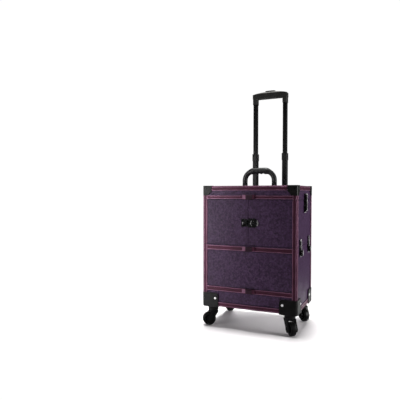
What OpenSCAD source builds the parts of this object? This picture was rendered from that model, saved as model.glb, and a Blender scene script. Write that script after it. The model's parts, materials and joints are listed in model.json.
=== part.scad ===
// Rolling makeup case: a hard case on four swivel casters, with a hinged lid, two
// wings that swing out from hinges at the back, two drawers and a telescopic trolley.
// Millimetres. The origin is on the floor, below the middle of the bounding box.
// +X is to the right seen from the front, +Y to the back, +Z up.

/* [Case] */
// Width of the case over its edge profiles
body_w = 370; // [350:1:390]
// Depth of the case over its edge profiles
body_d = 270; // [260:1:290]
// Height of the case over its edge profiles
body_h = 470; // [460:1:490]
// Height of the base, up to the seam below the wings
base_h = 244; // [238:1:250]
// Height of the lid
lid_h = 52; // [50:1:56]
// Thickness of the covered boards
board_t = 6; // [4:0.5:7]
// Gap at the seams between base, wings and lid
seam = 1; // [0.6:0.1:1.6]
// Width of the wings' return at the back
wing_return = 55; // [52:1:60]

/* [Edge profiles] */
// Width of an edge profile's legs
prof_leg = 17; // [15:0.5:18]
// Thickness of an edge profile
prof_t = 1.6; // [1.2:0.1:2]
// Width of the raised lips along the profiles
lip_w = 2.4; // [1.6:0.1:3]
// Height of the lips above the profile
lip_h = 0.9; // [0.5:0.1:1.2]
// Height of the two rails across the base's front
rail_h = 17; // [15:0.5:18]
// Drop of the upper rail below the seam
rail_drop = 4; // [3:0.5:6]
// Height of the lower rail above the case's bottom
lower_rail_z = 62; // [60:0.5:66]
// Height of the band along the lid's front
lid_band_h = 12; // [11:0.5:13]
// Rise of the lid's band above the lid's lower edge
lid_band_rise = 3; // [2:0.5:4]

/* [Corners] */
// Length of the bottom corners along the edges
foot_cap_w = 64; // [58:1:68]
// Height of the bottom corners
foot_cap_h = 52; // [48:1:56]
// Depth of the bottom corners below the case
foot_cap_drop = 3; // [2:0.5:5]
// Rounding of the free end of a bottom corner's plates
foot_cap_r = 12; // [6:1:18]
// Length of the lid corners along the edges
lid_cap_w = 36; // [30:1:38]
// Thickness of the bottom corners' plates over the boards
foot_cap_t = 5; // [4:0.5:6]
// Thickness of the lid corners' plates over the boards
cap_t = 3.4; // [2.6:0.1:4]
// Rounding of the bottom corners' outer edges
foot_edge_r = 12; // [6:0.5:14]
// Rounding of the lid corners' outer edges
cap_r = 7; // [4:0.5:9]
// Radius of the rivet heads
rivet_r = 4.5; // [3:0.5:5]
// Height of the rivet heads
rivet_h = 1.6; // [1:0.1:2]

/* [Casters] */
// Height of the case's bottom above the floor
caster_h = 82; // [80:1:88]
// Diameter of the wheels
wheel_d = 52; // [46:1:54]
// Width of the wheels
wheel_w = 20; // [16:1:22]
// Distance of the caster stems from the case's sides
caster_inset = 31; // [29:1:33]
// Offset of the axle behind the stem
trail = 17; // [14:1:20]
// Diameter of the axle
axle_d = 6; // [5:0.5:8]
// Diameter of the stem
stem_d = 10; // [8:0.5:12]
// Length of the stem in its socket
stem_l = 12; // [10:0.5:13]
// Thickness of the fork's crown
crown_t = 7; // [5:0.5:8]
// Gap over the wheel inside the fork
fork_gap = 3; // [2:0.5:4]
// Thickness of the fork's cheeks
cheek_t = 8; // [6:0.5:9]
// Direction of the trail at the front left caster
turn_front_left = 215; // [215:5:260]
// Direction of the trail at the front right caster
turn_front_right = -55; // [-55:5:-20]
// Direction of the trail at the back left caster
turn_back_left = 145; // [100:5:145]
// Direction of the trail at the back right caster
turn_back_right = -45; // [-60:5:-40]

/* [Trolley] */
// Distance of each pole from the middle
pole_x = 65.5; // [62:0.5:72]
// Distance of the poles' centres behind the case
pole_back = 27; // [26:1:32]
// Width of the outer tubes
tube_w = 24.5; // [22:0.5:26]
// Depth of the outer tubes
tube_d = 30; // [28:0.5:32]
// Wall of the tubes
tube_t = 1.5; // [1.2:0.1:1.8]
// Rounding of the outer tubes' edges
tube_r = 5; // [4.5:0.5:6]
// Distance of the brackets' ends from the tower's edges
bracket_in = 42; // [38:1:46]
// Wall of the brackets around the tubes
bracket_t = 4; // [3:0.5:5]
// Depth of the brackets between the tubes
waist = 15; // [12:0.5:16]
// Height of the foot bracket above the case's bottom
foot_bracket_z = 10; // [6:1:14]
// Height of the foot bracket
foot_bracket_h = 44; // [38:1:50]
// Height of the top bracket above the case's bottom
top_bracket_z = 322; // [314:1:328]
// Height of the top bracket
top_bracket_h = 33; // [33:0.5:36]
// Depth of the hollow in the top bracket's upper edge
bracket_hollow = 8; // [4:0.5:10]
// Rise of the middle tubes above the top bracket
middle_rise = 260; // [200:5:280]
// Height of the collars on the middle tubes
collar_h = 30; // [24:1:30]
// Rise of the grip's sleeves above the collars
upper_rise = 216; // [180:4:240]
// Length of the middle tubes inside the outer ones when pulled out
middle_lap = 48; // [40:1:50]
// Length of the upper tubes below the collars when pulled out
upper_lap = 28; // [20:1:40]
// Height of the grip's sleeves
sleeve_h = 24; // [20:1:30]
// Depth of the grip
grip_d = 30; // [29:0.5:31]
// Height of the grip's bar at the middle
grip_h = 28; // [26:0.5:32]
// Crown of the grip's bar
grip_arch = 10; // [6:0.5:12]
// Length of the release button
button_l = 44; // [30:1:60]
// Width of the release button
button_w = 14; // [10:0.5:16]
// Height of the button above the grip
button_rise = 5; // [4.5:0.5:6]
// Stroke of the button
button_stroke = 4; // [2:0.5:4]
// Diameter of the lock rods
rod_d = 4; // [3:0.5:5]

/* [Carry handle] */
// Distance between the handle's legs
handle_span = 122; // [116:1:130]
// Distance of the handle's middle to the right of the lid's middle
handle_shift = 2.5; // [0:0.5:4]
// Height of the handle over the lid
handle_rise = 75; // [72:1:84]
// Diameter of the handle's legs
leg_d = 20.5; // [17:0.5:21]
// Diameter of the handle's hand hold
hold_d = 26; // [24:0.5:28]
// Radius of the handle's bends
bend_r = 38; // [32:1:40]
// Height of the handle's pivots above the lid
pivot_rise = 12; // [11.5:0.5:14]
// Diameter of the handle's pins
pin_d = 5; // [4:0.5:6]
// Number of finger hollows below the hand hold
finger_count = 3; // [2:1:3]

/* [Latches and hinges] */
// Width of a turn latch
latch_w = 34; // [28:1:36]
// Length of a turn latch's plate
latch_l = 40; // [37:1:42]
// Length of a turn latch's keeper
keeper_l = 26; // [20:1:28]
// Thickness of the latch plates
plate_t = 3; // [2:0.5:3.5]
// Radius of the turning disc
turn_r = 13; // [11:0.5:14]
// Height of the turning piece
turn_t = 9; // [7:0.5:10]
// Distance of the side latches from the middle of the side
side_latch_y = 75; // [60:1:80]
// Height of the front latch above the case's bottom
front_latch_z = 330; // [310:1:350]
// Length of the lid latch's lever below the seam
lever_l = 48; // [42:1:52]
// Length of the lid latch's lever above the seam
lever_over = 23; // [18:1:26]
// Width of the lid latch's lever
lever_w = 24; // [20:1:28]
// Thickness of the hinge leaves
leaf_t = 2.5; // [2:0.1:3]
// Radius of the hinge barrels
barrel_r = 4; // [3.5:0.1:4.5]
// Diameter of the hinge pins
hinge_pin_d = 3.2; // [2.4:0.1:4]
// Distance of the lid hinges' middles from the tower's edges
lid_hinge_in = 22; // [19:1:24]
// Width of the lid hinges
lid_hinge_w = 34; // [28:1:36]
// Length of the lid hinge's lower leaf
lid_leaf_low = 42; // [36:1:46]
// Length of the lid hinge's upper leaf
lid_leaf_up = 20; // [16:1:24]
// Drop of the wing hinges below the lid's lower edge
wing_hinge_drop = 87; // [74:1:94]
// Height of the wing hinges
wing_hinge_h = 37; // [32:1:42]
// Length of the wing hinge's leaf on the tower
wing_leaf_in = 25; // [20:1:28]
// Length of the wing hinge's leaf on the wing
wing_leaf_out = 36; // [28:1:40]
// Width of the clasps' flaps
clasp_w = 25; // [20:1:28]
// Height of the clasps' flaps
clasp_h = 18; // [16:0.5:19]

/* [Drawers and trays] */
// Wall of the drawer boxes
box_t = 4; // [3:0.5:5]
// Height of the deep drawer's box
deep_box_h = 112; // [90:1:125]
// Height of the shallow drawer's box
shallow_box_h = 34; // [28:1:36]
// Free depth behind the drawer boxes
box_back = 23; // [18:1:40]
// Gap round the drawer fronts
reveal = 1; // [0.6:0.1:1.4]
// Height of the drawer runners' guides
guide_h = 16; // [10:1:20]
// Height of the wing trays
tray_h = 36; // [24:1:38]
// Drop of the upper wing tray below the wing's top
tray_drop = 22; // [18:1:26]
// Wall of the wing trays
tray_t = 2; // [1.6:0.2:3]
// Distance from one wing tray to the next
tray_step = 54; // [50:1:56]

/* [Fits] */
// Radial clearance of pins and stems
run_gap = 0.05; // [0.03:0.01:0.1]
// Glue line between boards that butt together
joint_gap = 0.1; // [0.05:0.05:0.3]
// Clearance between the telescopic tubes
tube_gap = 0.4; // [0.3:0.05:0.6]
// Clearance between pieces that pass each other
clear = 0.4; // [0.3:0.05:0.6]

/* [Hidden] */
$fn = 48;
eps = 0.01;
far = 1000;

// Heights above the floor
case_z = caster_h;
top_z = case_z + body_h;
mid_z = case_z + base_h;
lid_z = top_z - lid_h;
wing_z0 = mid_z + seam;
wing_z1 = lid_z - seam;
floor_z = case_z + prof_t + board_t;
roof_z = top_z - prof_t;

// Planes of the boards' outer faces
side_x = body_w / 2 - prof_t;
inner_x = side_x - board_t;
turn_gap = 0.3;
front_reach = plate_t + turn_gap + turn_t - prof_t;
rear_reach = pole_back + tube_d / 2 + bracket_t;
case_y = (front_reach - rear_reach) / 2;
front_y = case_y - body_d / 2 + prof_t;
back_y = case_y + body_d / 2 - prof_t;
tower_x = body_w / 2 - wing_return;

// Front of the base
rail_x = body_w / 2 - prof_leg;
upper_rail_z = mid_z - rail_drop - rail_h;
low_rail_z = case_z + lower_rail_z;
header_lap = 1;
sill_z = case_z + prof_leg + 2;
stile_x = body_w / 2 - foot_cap_w;
shelf_z = low_rail_z + rail_h - board_t;

// Corner shells
cap_gap = 0.2;
lid_cap_h = lid_h - lid_band_rise - lid_band_h - clear;
lid_rivet_in = 9;
rivet_in = 12;
foot_rivet_z = foot_cap_h - 20;

// Casters
axle_z = wheel_d / 2;
crown_z = wheel_d + fork_gap;
crown_top = crown_z + crown_t;
swivel_gap = 0.5;
neck_z = crown_top + swivel_gap;
neck_top = case_z - foot_cap_drop;
neck_r = 20;
neck_spread = 12;
crown_r = 18;
crown_reach = crown_r - 2;
cheek_y = wheel_w / 2 + 1;
cheek_r = 13;
axle_head = 1.2;
axle_head_r = axle_d / 2 + 2;
tyre_r = 5;
hub_r = 15;
hub_in = 2.5;
stem_x = body_w / 2 - caster_inset;
stem_y = body_d / 2 - caster_inset;
CASTERS = [
    ["front_left", -1, -1, turn_front_left],
    ["front_right", 1, -1, turn_front_right],
    ["back_left", -1, 1, turn_back_left],
    ["back_right", 1, 1, turn_back_right]
];

// Trolley
pole_y = case_y + body_d / 2 + pole_back;
foot_z = case_z + foot_bracket_z;
top_br_z = case_z + top_bracket_z;
top_br_top = top_br_z + top_bracket_h;
bore_gap = 0.1;
bracket_w = 2 * (tower_x - bracket_in);
hollow_x = pole_x - tube_w / 2 - 2 * bracket_t;
bracket_hollow_r = (hollow_x * hollow_x + bracket_hollow * bracket_hollow) / (2 * bracket_hollow);
tube_end = foot_z + bracket_t;
outer_top = top_br_top - collar_h - 1;
middle_w = tube_w - 2 * tube_t - 2 * tube_gap;
middle_d = tube_d - 2 * tube_t - 2 * tube_gap;
middle_r = tube_r - tube_t - tube_gap;
upper_w = middle_w - 2 * tube_t - 2 * tube_gap;
upper_d = middle_d - 2 * tube_t - 2 * tube_gap;
upper_ease = 1;
upper_r = middle_r - tube_t + upper_ease;
collar_w = tube_w - 2 * tube_gap;
collar_d = tube_d - 2 * tube_gap;
stop_gap = 2;
collar_top = top_br_top + middle_rise;
middle_end = outer_top - middle_lap;
sleeve_z = collar_top + upper_rise;
upper_end = collar_top - collar_h - upper_lap;
grip_z = sleeve_z + sleeve_h;
grip_top = grip_z + grip_h;
sleeve_wall = 1.5;
sleeve_w = upper_w + 2 * sleeve_wall;
grip_x = pole_x + sleeve_w / 2;
grip_r = (grip_x * grip_x + grip_arch * grip_arch) / (2 * grip_arch);
grip_round = 9;
yoke_t = 5;
yoke_w = 8;
yoke_z = grip_z + 7.5;
channel_z = yoke_z - button_stroke - clear;
rod_rise = 20;
rod_end = upper_end + rod_rise;
screw_x = 30;

// Carry handle
pivot_z = roof_z + pivot_rise;
hold_z = top_z + handle_rise - hold_d / 2;
eye_w = 9;
eye_r = 6.5;
ear_t = 4;
foot_t = 3;
eye_neck = 2.5;
hold_lap = 6;
leg_start = pivot_z + eye_r + eye_neck;
hollow_r = 9;
hollow_depth = 2.2;

// Turn latches
latch_gap = 0.6;
keeper_share = 0.9;
keeper_waist = 0.88;
post_r = 3;
turn_base = 3;
turn_c = -latch_l + turn_r + 3;
tongue_w = 10;
tongue_l = 5;
tongue_t = 2.5;

// Lid latches
lever_t = 5;
lever_gap = 0.5;
lever_barrel = 3;
lever_pin = 3;
lever_y = -plate_t - lever_gap - lever_barrel;
lever_z = -lever_l + lever_barrel + 2;
hasp_ear = 3;

// Hinges
barrel_gap = 0.6;
axis_out = barrel_r + barrel_gap;
leaf_clear = barrel_r + 2 * clear;
lid_hinge_x = tower_x - lid_hinge_in;
wing_hinge_z = lid_z - wing_hinge_drop;
lid_axis_y = back_y + axis_out;
lid_axis_z = lid_z - seam / 2;
wing_axis_x = tower_x + seam / 2;
wing_axis_y = back_y + axis_out;
knuckle = 8;
rib_h = 3;
rib_t = 1.2;

// Clasps
clasp_x = 5;
clasp_plate = 1.4;
clasp_pin = 2;
clasp_barrel = 2.2;
clasp_flap_t = 2.6;
clasp_block = 13;
clasp_ear = 9.5;
clasp_wing = 10;
clasp_wing_h = 9;
clasp_block_drop = 7.5;
clasp_ear_drop = 6;
clasp_lift = 0.3;
clasp_out = prof_t + lip_h;
clasp_axis = clasp_out + clasp_plate + clear + clasp_barrel;

// Drawers
front_gap = 0.3;
deep_z0 = low_rail_z + rail_h + header_lap + reveal;
deep_z1 = upper_rail_z - header_lap - reveal;
deep_x = rail_x - reveal;
deep_box_x = deep_x - 2;
shallow_z0 = sill_z + reveal;
shallow_z1 = low_rail_z - header_lap - reveal;
shallow_x = stile_x - reveal;
shallow_box_x = shallow_x - 3;
box_y = front_y + board_t;
box_d = back_y - board_t - box_back - box_y;
runner_w = 10;
runner_rise = 8;
deep_box_z = shelf_z + runner_rise + front_gap;
shallow_box_z = shallow_z0 + front_gap;
guide_gap = 0.5;
guide_w = 9;

// Wing trays
tray_in = 6;
tray_back = 1.5;
wing_gap = 0.5;
lip_board = 4;
lip_rise = 22;

WINE = "#5a2138";
LEATHER = "#44324c";
BLACK = "#232321";
STEEL = "#c9c9cb";
GREY = "#3b3a3d";
LINING = "#2a2630";

SIDES = ["left", "right"];

// Shared helpers
module span(x0, x1, y0, y1, z0, z1) {
    translate([x0, y0, z0]) cube([x1 - x0, y1 - y0, z1 - z0]);
}

module both_sides() {
    children();
    mirror([1, 0, 0]) children();
}

module on_side(right) {
    mirror([right ? 0 : 1, 0, 0]) children();
}

module front_and_back() {
    children();
    translate([0, 2 * case_y, 0]) mirror([0, 1, 0]) children();
}

module four_corners() {
    front_and_back() both_sides() children();
}

// Puts a fitting drawn for the front face on the right side
module on_right_side(y, z) {
    translate([side_x, y, z]) rotate([0, 0, 90]) children();
}

module rounded(w, d, r) {
    square([w - 2 * r, d], center = true);
    square([w, d - 2 * r], center = true);
    for (x = [-1, 1], y = [-1, 1])
        translate([x * (w / 2 - r), y * (d / 2 - r)]) circle(r);
}

module along_x(l) {
    translate([-l / 2, 0, 0]) rotate([90, 0, 90]) linear_extrude(l) children();
}

module along_y(l) {
    translate([0, l / 2, 0]) rotate([90, 0, 0]) linear_extrude(l) children();
}

module rivet() {
    rotate([90, 0, 0]) cylinder(h = rivet_h, r1 = rivet_r, r2 = rivet_r * 0.6);
}

// Edge profile with its outer corner at the origin, and lips along both legs
module profile_section() {
    translate([-prof_leg, -prof_t]) square([prof_leg, prof_t]);
    translate([-prof_t, -prof_leg]) square([prof_t, prof_leg]);
    for (u = [-prof_leg, -2 * lip_w]) {
        translate([u, -prof_t]) square([lip_w, prof_t + lip_h]);
        translate([-prof_t, u]) square([prof_t + lip_h, lip_w]);
    }
}

module corner_bar(z0, z1) {
    translate([body_w / 2, case_y + body_d / 2, z0]) linear_extrude(z1 - z0) profile_section();
}

// Flat band with a lip along each edge, standing on the front boards
module front_band(z, h) {
    translate([0, front_y, z]) along_x(2 * (rail_x - cap_gap)) {
        translate([-prof_t, 0]) square([prof_t, h]);
        for (v = [0, h - lip_w])
            translate([-prof_t - lip_h, v]) square([prof_t + lip_h, lip_w]);
    }
}

// Base
module base_panels() color(LEATHER) {
    x = inner_x - joint_gap;
    y0 = front_y + board_t + joint_gap;
    y1 = back_y - board_t - joint_gap;
    low_top = low_rail_z + rail_h + header_lap;
    low_z = low_rail_z - header_lap;
    span(-side_x, side_x, front_y, back_y, case_z + prof_t, floor_z);
    both_sides() span(inner_x, side_x, front_y, back_y, floor_z + joint_gap, mid_z);
    for (z = [mid_z, shelf_z]) span(-x, x, y0, y1, z - board_t, z);
    span(-x, x, front_y, y0 - joint_gap, floor_z + joint_gap, sill_z);
    span(-x, x, front_y, y0 - joint_gap, low_z, low_top);
    span(-x, x, front_y, y0 - joint_gap, upper_rail_z - header_lap, mid_z);
    both_sides() span(stile_x, x, front_y, y0 - joint_gap, sill_z + joint_gap, low_z - joint_gap);
}

module rear_panel() color(LEATHER) {
    x = inner_x - joint_gap;
    span(-x, x, back_y - board_t, back_y, floor_z + joint_gap, mid_z);
    span(-tower_x, tower_x, back_y - board_t, back_y, mid_z - eps, wing_z1);
}

module base_profiles() color(WINE) {
    four_corners() corner_bar(case_z + foot_cap_h, mid_z);
    front_and_back() translate([0, case_y + body_d / 2, case_z]) mirror([0, 0, 1])
        along_x(2 * stile_x) profile_section();
    both_sides() translate([body_w / 2, case_y, case_z]) mirror([0, 0, 1])
        along_y(body_d - 2 * foot_cap_w) profile_section();
    front_band(upper_rail_z, rail_h);
    front_band(low_rail_z, rail_h);
}

// Plan of a corner shell: local zero is the corner of the boards' outer faces
module cap_plan(w, t, r) {
    translate([-w, -w]) square([w + t - r, w + t]);
    translate([-w, -w]) square([w + t, w + t - r]);
    translate([t - r, t - r]) circle(r);
}

// Wedge that cuts the free corner of both plates of a corner shell
module plate_slopes(w, z, run, rise) {
    for (flip = [0, 1]) mirror([flip, -flip, 0])
        translate([0, cap_t + 1, 0]) rotate([90, 0, 0]) linear_extrude(cap_t + 1)
            polygon([[-w - 1, z - rise], [-w, z - rise], [-w + run, z],
                [-w + run, z + sign(rise)], [-w - 1, z + sign(rise)]]);
}

// Rounding of the free upper corner of both plates of a corner shell
module plate_rounds(w, z, r, t) {
    for (flip = [0, 1]) mirror([flip, -flip, 0])
        translate([0, t + 1, 0]) rotate([90, 0, 0]) linear_extrude(t + 1) difference() {
            translate([-w - 1, z - r]) square([r + 1, r + 1]);
            translate([r - w, z - r]) circle(r);
        }
}

// Neck below a bottom corner, with a hollow fillet under the plate
module neck(h) {
    rotate_extrude() {
        square([neck_r, h]);
        difference() {
            translate([0, h - neck_spread]) square([neck_r + neck_spread, neck_spread]);
            translate([neck_r + neck_spread, h - neck_spread]) circle(neck_spread);
        }
    }
}

module foot_cap() {
    w = foot_cap_w - prof_t;
    stem = prof_t - caster_inset;
    difference() {
        union() {
            translate([0, 0, -foot_cap_drop])
                linear_extrude(foot_cap_h + foot_cap_drop) cap_plan(w, foot_cap_t, foot_edge_r);
            translate([stem, stem, neck_z - case_z]) neck(neck_top - neck_z + eps);
        }
        translate([-far, -far, prof_t]) cube([far, far, far]);
        plate_rounds(w, foot_cap_h, foot_cap_r, foot_cap_t);
        translate([stem, stem, neck_z - case_z - 1])
            cylinder(h = stem_l + 2, d = stem_d + 2 * run_gap);
    }
}

module caster_corners() color(BLACK) {
    four_corners() translate([side_x, back_y, case_z]) foot_cap();
}

module foot_rivets() {
    x = stile_x + rivet_in;
    y = case_y - body_d / 2 + foot_cap_w - rivet_in;
    both_sides() {
        translate([x, front_y - foot_cap_t, case_z + foot_rivet_z]) rivet();
        on_right_side(y, case_z + foot_rivet_z) translate([0, -foot_cap_t, 0]) rivet();
    }
}

module bracket_screws(z) {
    both_sides() translate([screw_x, back_y + waist, z]) mirror([0, 1, 0]) rivet();
}

module base_rivets() color(STEEL) {
    front_and_back() foot_rivets();
    bracket_screws(foot_z + foot_bracket_h / 2);
    bracket_screws(top_br_z + top_bracket_h / 2);
}

module drawer_runners() color(LINING) both_sides() {
    deep_in = deep_box_x + guide_gap;
    low_in = shallow_box_x + guide_gap;
    back = box_y + box_d;
    span(deep_box_x - runner_w, inner_x, box_y, back, shelf_z, shelf_z + runner_rise);
    span(deep_in, inner_x, box_y, back, shelf_z + runner_rise - eps,
        shelf_z + runner_rise + guide_h);
    span(shallow_box_x - runner_w, low_in + guide_w, box_y, back, floor_z, shallow_z0);
    span(low_in, low_in + guide_w, box_y, back, shallow_z0 - eps, shallow_z0 + guide_h);
}

// Trolley
module tube(w, d, r, z0, z1) {
    translate([pole_x, pole_y, z0]) linear_extrude(z1 - z0) difference() {
        rounded(w, d, r);
        rounded(w - 2 * tube_t, d - 2 * tube_t, max(r - tube_t, 0.5));
    }
}

module bracket(z, h) {
    boss_w = tube_w + 2 * bracket_t;
    front = pole_y - back_y;
    translate([0, back_y, z]) linear_extrude(h) {
        translate([0, waist / 2]) square([bracket_w, waist], center = true);
        for (s = [-1, 1]) translate([s * pole_x, 0]) {
            translate([-boss_w / 2, 0]) square([boss_w, front]);
            translate([0, front]) rounded(boss_w, tube_d + 2 * bracket_t, tube_r + bracket_t);
        }
    }
}

module bracket_bore(z0, z1) {
    both_sides() translate([pole_x, pole_y, z0]) linear_extrude(z1 - z0)
        rounded(tube_w + 2 * bore_gap, tube_d + 2 * bore_gap, tube_r);
}

module trolley_outer_tubes() color(GREY)
    both_sides() tube(tube_w, tube_d, tube_r, tube_end, outer_top);

module trolley_top_bracket() color(BLACK) difference() {
    bracket(top_br_z, top_bracket_h);
    bracket_bore(top_br_z - 1, top_br_top + 1);
    translate([0, back_y, top_br_top - bracket_hollow + bracket_hollow_r]) rotate([-90, 0, 0])
        cylinder(h = waist + eps, r = bracket_hollow_r, $fn = 200);
}

module trolley_foot_bracket() color(BLACK) difference() {
    bracket(foot_z, foot_bracket_h);
    bracket_bore(tube_end, foot_z + foot_bracket_h + 1);
    span(-bracket_w, bracket_w, back_y - 1, back_y + prof_t + lip_h + clear,
        foot_z - 1, case_z + prof_leg + clear);
}

module trolley_middle_tubes() color(GREY)
    both_sides() tube(middle_w, middle_d, middle_r, middle_end, collar_top - stop_gap);

module trolley_collars() color(BLACK) both_sides()
    translate([pole_x, pole_y, collar_top - collar_h]) linear_extrude(collar_h) difference() {
        rounded(collar_w, collar_d, tube_r - tube_gap);
        rounded(middle_w + 2 * bore_gap, middle_d + 2 * bore_gap, middle_r);
    }

module trolley_upper_tubes() color(BLACK)
    both_sides() tube(upper_w, upper_d, upper_r, upper_end, grip_z);

module grip_body() {
    union() {
        both_sides() translate([pole_x, pole_y, sleeve_z]) linear_extrude(sleeve_h + eps)
            rounded(sleeve_w, grip_d, tube_r);
        intersection() {
            translate([-grip_x, pole_y - grip_d / 2, grip_z]) cube([2 * grip_x, grip_d, grip_h]);
            translate([0, pole_y + grip_d, grip_top - grip_r]) rotate([90, 0, 0])
                cylinder(h = 2 * grip_d, r = grip_r, $fn = 200);
            translate([0, pole_y, grip_top - grip_h]) along_x(3 * grip_x)
                rounded(grip_d, 2 * grip_h, grip_round);
        }
    }
}

module trolley_grip() color(BLACK) difference() {
    grip_body();
    both_sides() translate([pole_x, pole_y, sleeve_z - 1]) linear_extrude(sleeve_h + 1)
        rounded(upper_w + 2 * bore_gap, upper_d + 2 * bore_gap, upper_r);
    both_sides() translate([pole_x, pole_y, sleeve_z]) cylinder(h = yoke_z - sleeve_z, d = rod_d + 2);
    translate([0, pole_y, channel_z + yoke_t])
        cube([2 * pole_x + yoke_w + 1, yoke_w + 1, 2 * yoke_t + 1], center = true);
    translate([0, pole_y, channel_z + yoke_t]) linear_extrude(far)
        rounded(button_l + 2 * clear, button_w + 2 * clear, 4);
}

module trolley_button() color(GREY) intersection() {
    translate([0, pole_y, yoke_z + yoke_t]) linear_extrude(far) rounded(button_l, button_w, 4);
    translate([0, pole_y + grip_d, grip_top + button_rise - grip_r]) rotate([90, 0, 0])
        cylinder(h = 2 * grip_d, r = grip_r, $fn = 200);
}

module trolley_lock_rods() color(STEEL) {
    translate([-pole_x - yoke_w / 2, pole_y - yoke_w / 2, yoke_z])
        cube([2 * pole_x + yoke_w, yoke_w, yoke_t]);
    both_sides() translate([pole_x, pole_y, rod_end]) cylinder(h = yoke_z - rod_end + 1, d = rod_d);
}

// Turn latch, drawn for the front face with the seam at z = 0 and its plate below
module latch_outline(w, l) {
    translate([-w / 2, -l + w / 2]) square([w, l - w / 2 - latch_gap]);
    translate([0, -l + w / 2]) circle(w / 2);
}

module latch_plate() {
    rotate([90, 0, 0]) linear_extrude(plate_t) latch_outline(latch_w, latch_l);
    translate([0, -plate_t + eps, turn_c]) rotate([90, 0, 0])
        cylinder(h = turn_gap + turn_t, r = post_r);
}

module latch_turn() {
    translate([0, -plate_t - turn_gap, turn_c]) rotate([90, 0, 0]) difference() {
        union() {
            cylinder(h = turn_base, r = turn_r);
            cylinder(h = turn_t, r = post_r + 3);
            linear_extrude(turn_t - 1) for (s = [0, 1]) mirror([0, s])
                polygon([[-2, 3], [2, 3], [turn_r * 0.55, turn_r * 0.72],
                    [0, turn_r * 0.92], [-turn_r * 0.55, turn_r * 0.72]]);
        }
        translate([0, 0, -1]) cylinder(h = turn_t + 2, r = post_r + run_gap);
    }
}

module latch_keeper(tongue) {
    w = latch_w * keeper_share;
    waist_w = w * keeper_waist;
    rotate([90, 0, 0]) linear_extrude(plate_t)
        polygon([[-waist_w / 2, latch_gap], [waist_w / 2, latch_gap], [w / 2, keeper_l],
            [-w / 2, keeper_l]]);
    hook_z = tongue ? -tongue_l : latch_gap + 1;
    span(-tongue_w / 2, tongue_w / 2, -plate_t - clear - tongue_t, -plate_t + eps,
        latch_gap + 1, keeper_l - 5);
    if (tongue)
        span(-tongue_w / 2, tongue_w / 2, -plate_t - clear - tongue_t, -plate_t - clear,
            hook_z, latch_gap + 2);
}

module front_latch_place() {
    translate([0, front_y, case_z + front_latch_z]) rotate([0, -90, 0]) children();
}

module side_latch_place(right, back) {
    on_side(right) on_right_side(case_y + (back ? 1 : -1) * side_latch_y, mid_z + seam / 2)
        children();
}

module side_latch_plates() color(BLACK)
    for (right = [false, true], back = [false, true]) side_latch_place(right, back) latch_plate();

// Lid latch, drawn for the front face with the lid's seam at z = 0
module hasp_plate() {
    ear_x = lever_w / 2 + clear;
    span(-ear_x - hasp_ear, ear_x + hasp_ear, -plate_t, 0, -lever_l - 3, -latch_gap);
    for (s = [0, 1]) mirror([s, 0, 0]) {
        span(ear_x, ear_x + hasp_ear, lever_y, -plate_t + eps,
            lever_z - lever_barrel, lever_z + lever_barrel);
        translate([ear_x, lever_y, lever_z]) rotate([0, 90, 0])
            cylinder(h = hasp_ear, r = lever_barrel);
    }
    translate([-ear_x - eps, lever_y, lever_z]) rotate([0, 90, 0])
        cylinder(h = 2 * (ear_x + eps), d = lever_pin);
}

module hasp_lever() {
    front = lever_y - lever_barrel;
    difference() {
        union() {
            translate([-lever_w / 2, lever_y, lever_z]) rotate([0, 90, 0])
                cylinder(h = lever_w, r = lever_barrel);
            translate([0, front + lever_t, 0]) rotate([90, 0, 0]) linear_extrude(lever_t) {
                translate([-lever_w / 2, lever_z]) square([lever_w, lever_over - lever_z - 6]);
                translate([-lever_w / 2 + 6, lever_z]) square([lever_w - 12, lever_over - lever_z]);
                for (s = [-1, 1]) translate([s * (lever_w / 2 - 6), lever_over - 6]) circle(6);
            }
        }
        translate([-lever_w, lever_y, lever_z]) rotate([0, 90, 0])
            cylinder(h = 2 * lever_w, d = lever_pin + 2 * run_gap);
    }
}

module hasp_keeper() {
    w = lever_w - 4;
    span(-w / 2, w / 2, -plate_t, 0, latch_gap + 2, lever_over);
}

module lid_latch_place(right) {
    on_side(right) on_right_side(case_y, lid_z - seam / 2) children();
}

// Hinges
module lid_barrels(outer, z_lift) {
    w = lid_hinge_w;
    for (x = outer ? [-w / 2, w / 2 - knuckle] : [-w / 2 + knuckle + turn_gap]) {
        l = outer ? knuckle : w - 2 * knuckle - 2 * turn_gap;
        difference() {
            union() {
                translate([x, lid_axis_y, lid_axis_z]) rotate([0, 90, 0])
                    cylinder(h = l, r = barrel_r);
                span(x, x + l, back_y, back_y + leaf_t,
                    lid_axis_z + min(0, z_lift), lid_axis_z + max(0, z_lift));
            }
            translate([x - 1, lid_axis_y, lid_axis_z]) rotate([0, 90, 0])
                cylinder(h = l + 2, d = hinge_pin_d + 2 * run_gap);
        }
    }
}

module hinge_rib(z) {
    span(-lid_hinge_w / 2 + 2, lid_hinge_w / 2 - 2, back_y + leaf_t - eps,
        back_y + leaf_t + rib_t, z, z + rib_h);
}

module lid_hinge_low() {
    z0 = lid_axis_z - lid_leaf_low;
    z1 = lid_axis_z - leaf_clear;
    span(-lid_hinge_w / 2, lid_hinge_w / 2, back_y, back_y + leaf_t, z0, z1);
    lid_barrels(true, -leaf_clear - eps);
    for (k = [0:2]) hinge_rib(z0 + 2 + k * (z1 - z0 - rib_h - 4) / 2);
}

module lid_hinge_up() {
    z0 = lid_axis_z + leaf_clear;
    z1 = lid_axis_z + lid_leaf_up;
    span(-lid_hinge_w / 2, lid_hinge_w / 2, back_y, back_y + leaf_t, z0, z1);
    lid_barrels(false, leaf_clear + eps);
    hinge_rib(z1 - rib_h - 2);
}

module lid_hinge_plates() color(BLACK)
    both_sides() translate([lid_hinge_x, 0, 0]) lid_hinge_low();

module lid_hinge_leaves() color(BLACK)
    both_sides() translate([lid_hinge_x, 0, 0]) lid_hinge_up();

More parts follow.
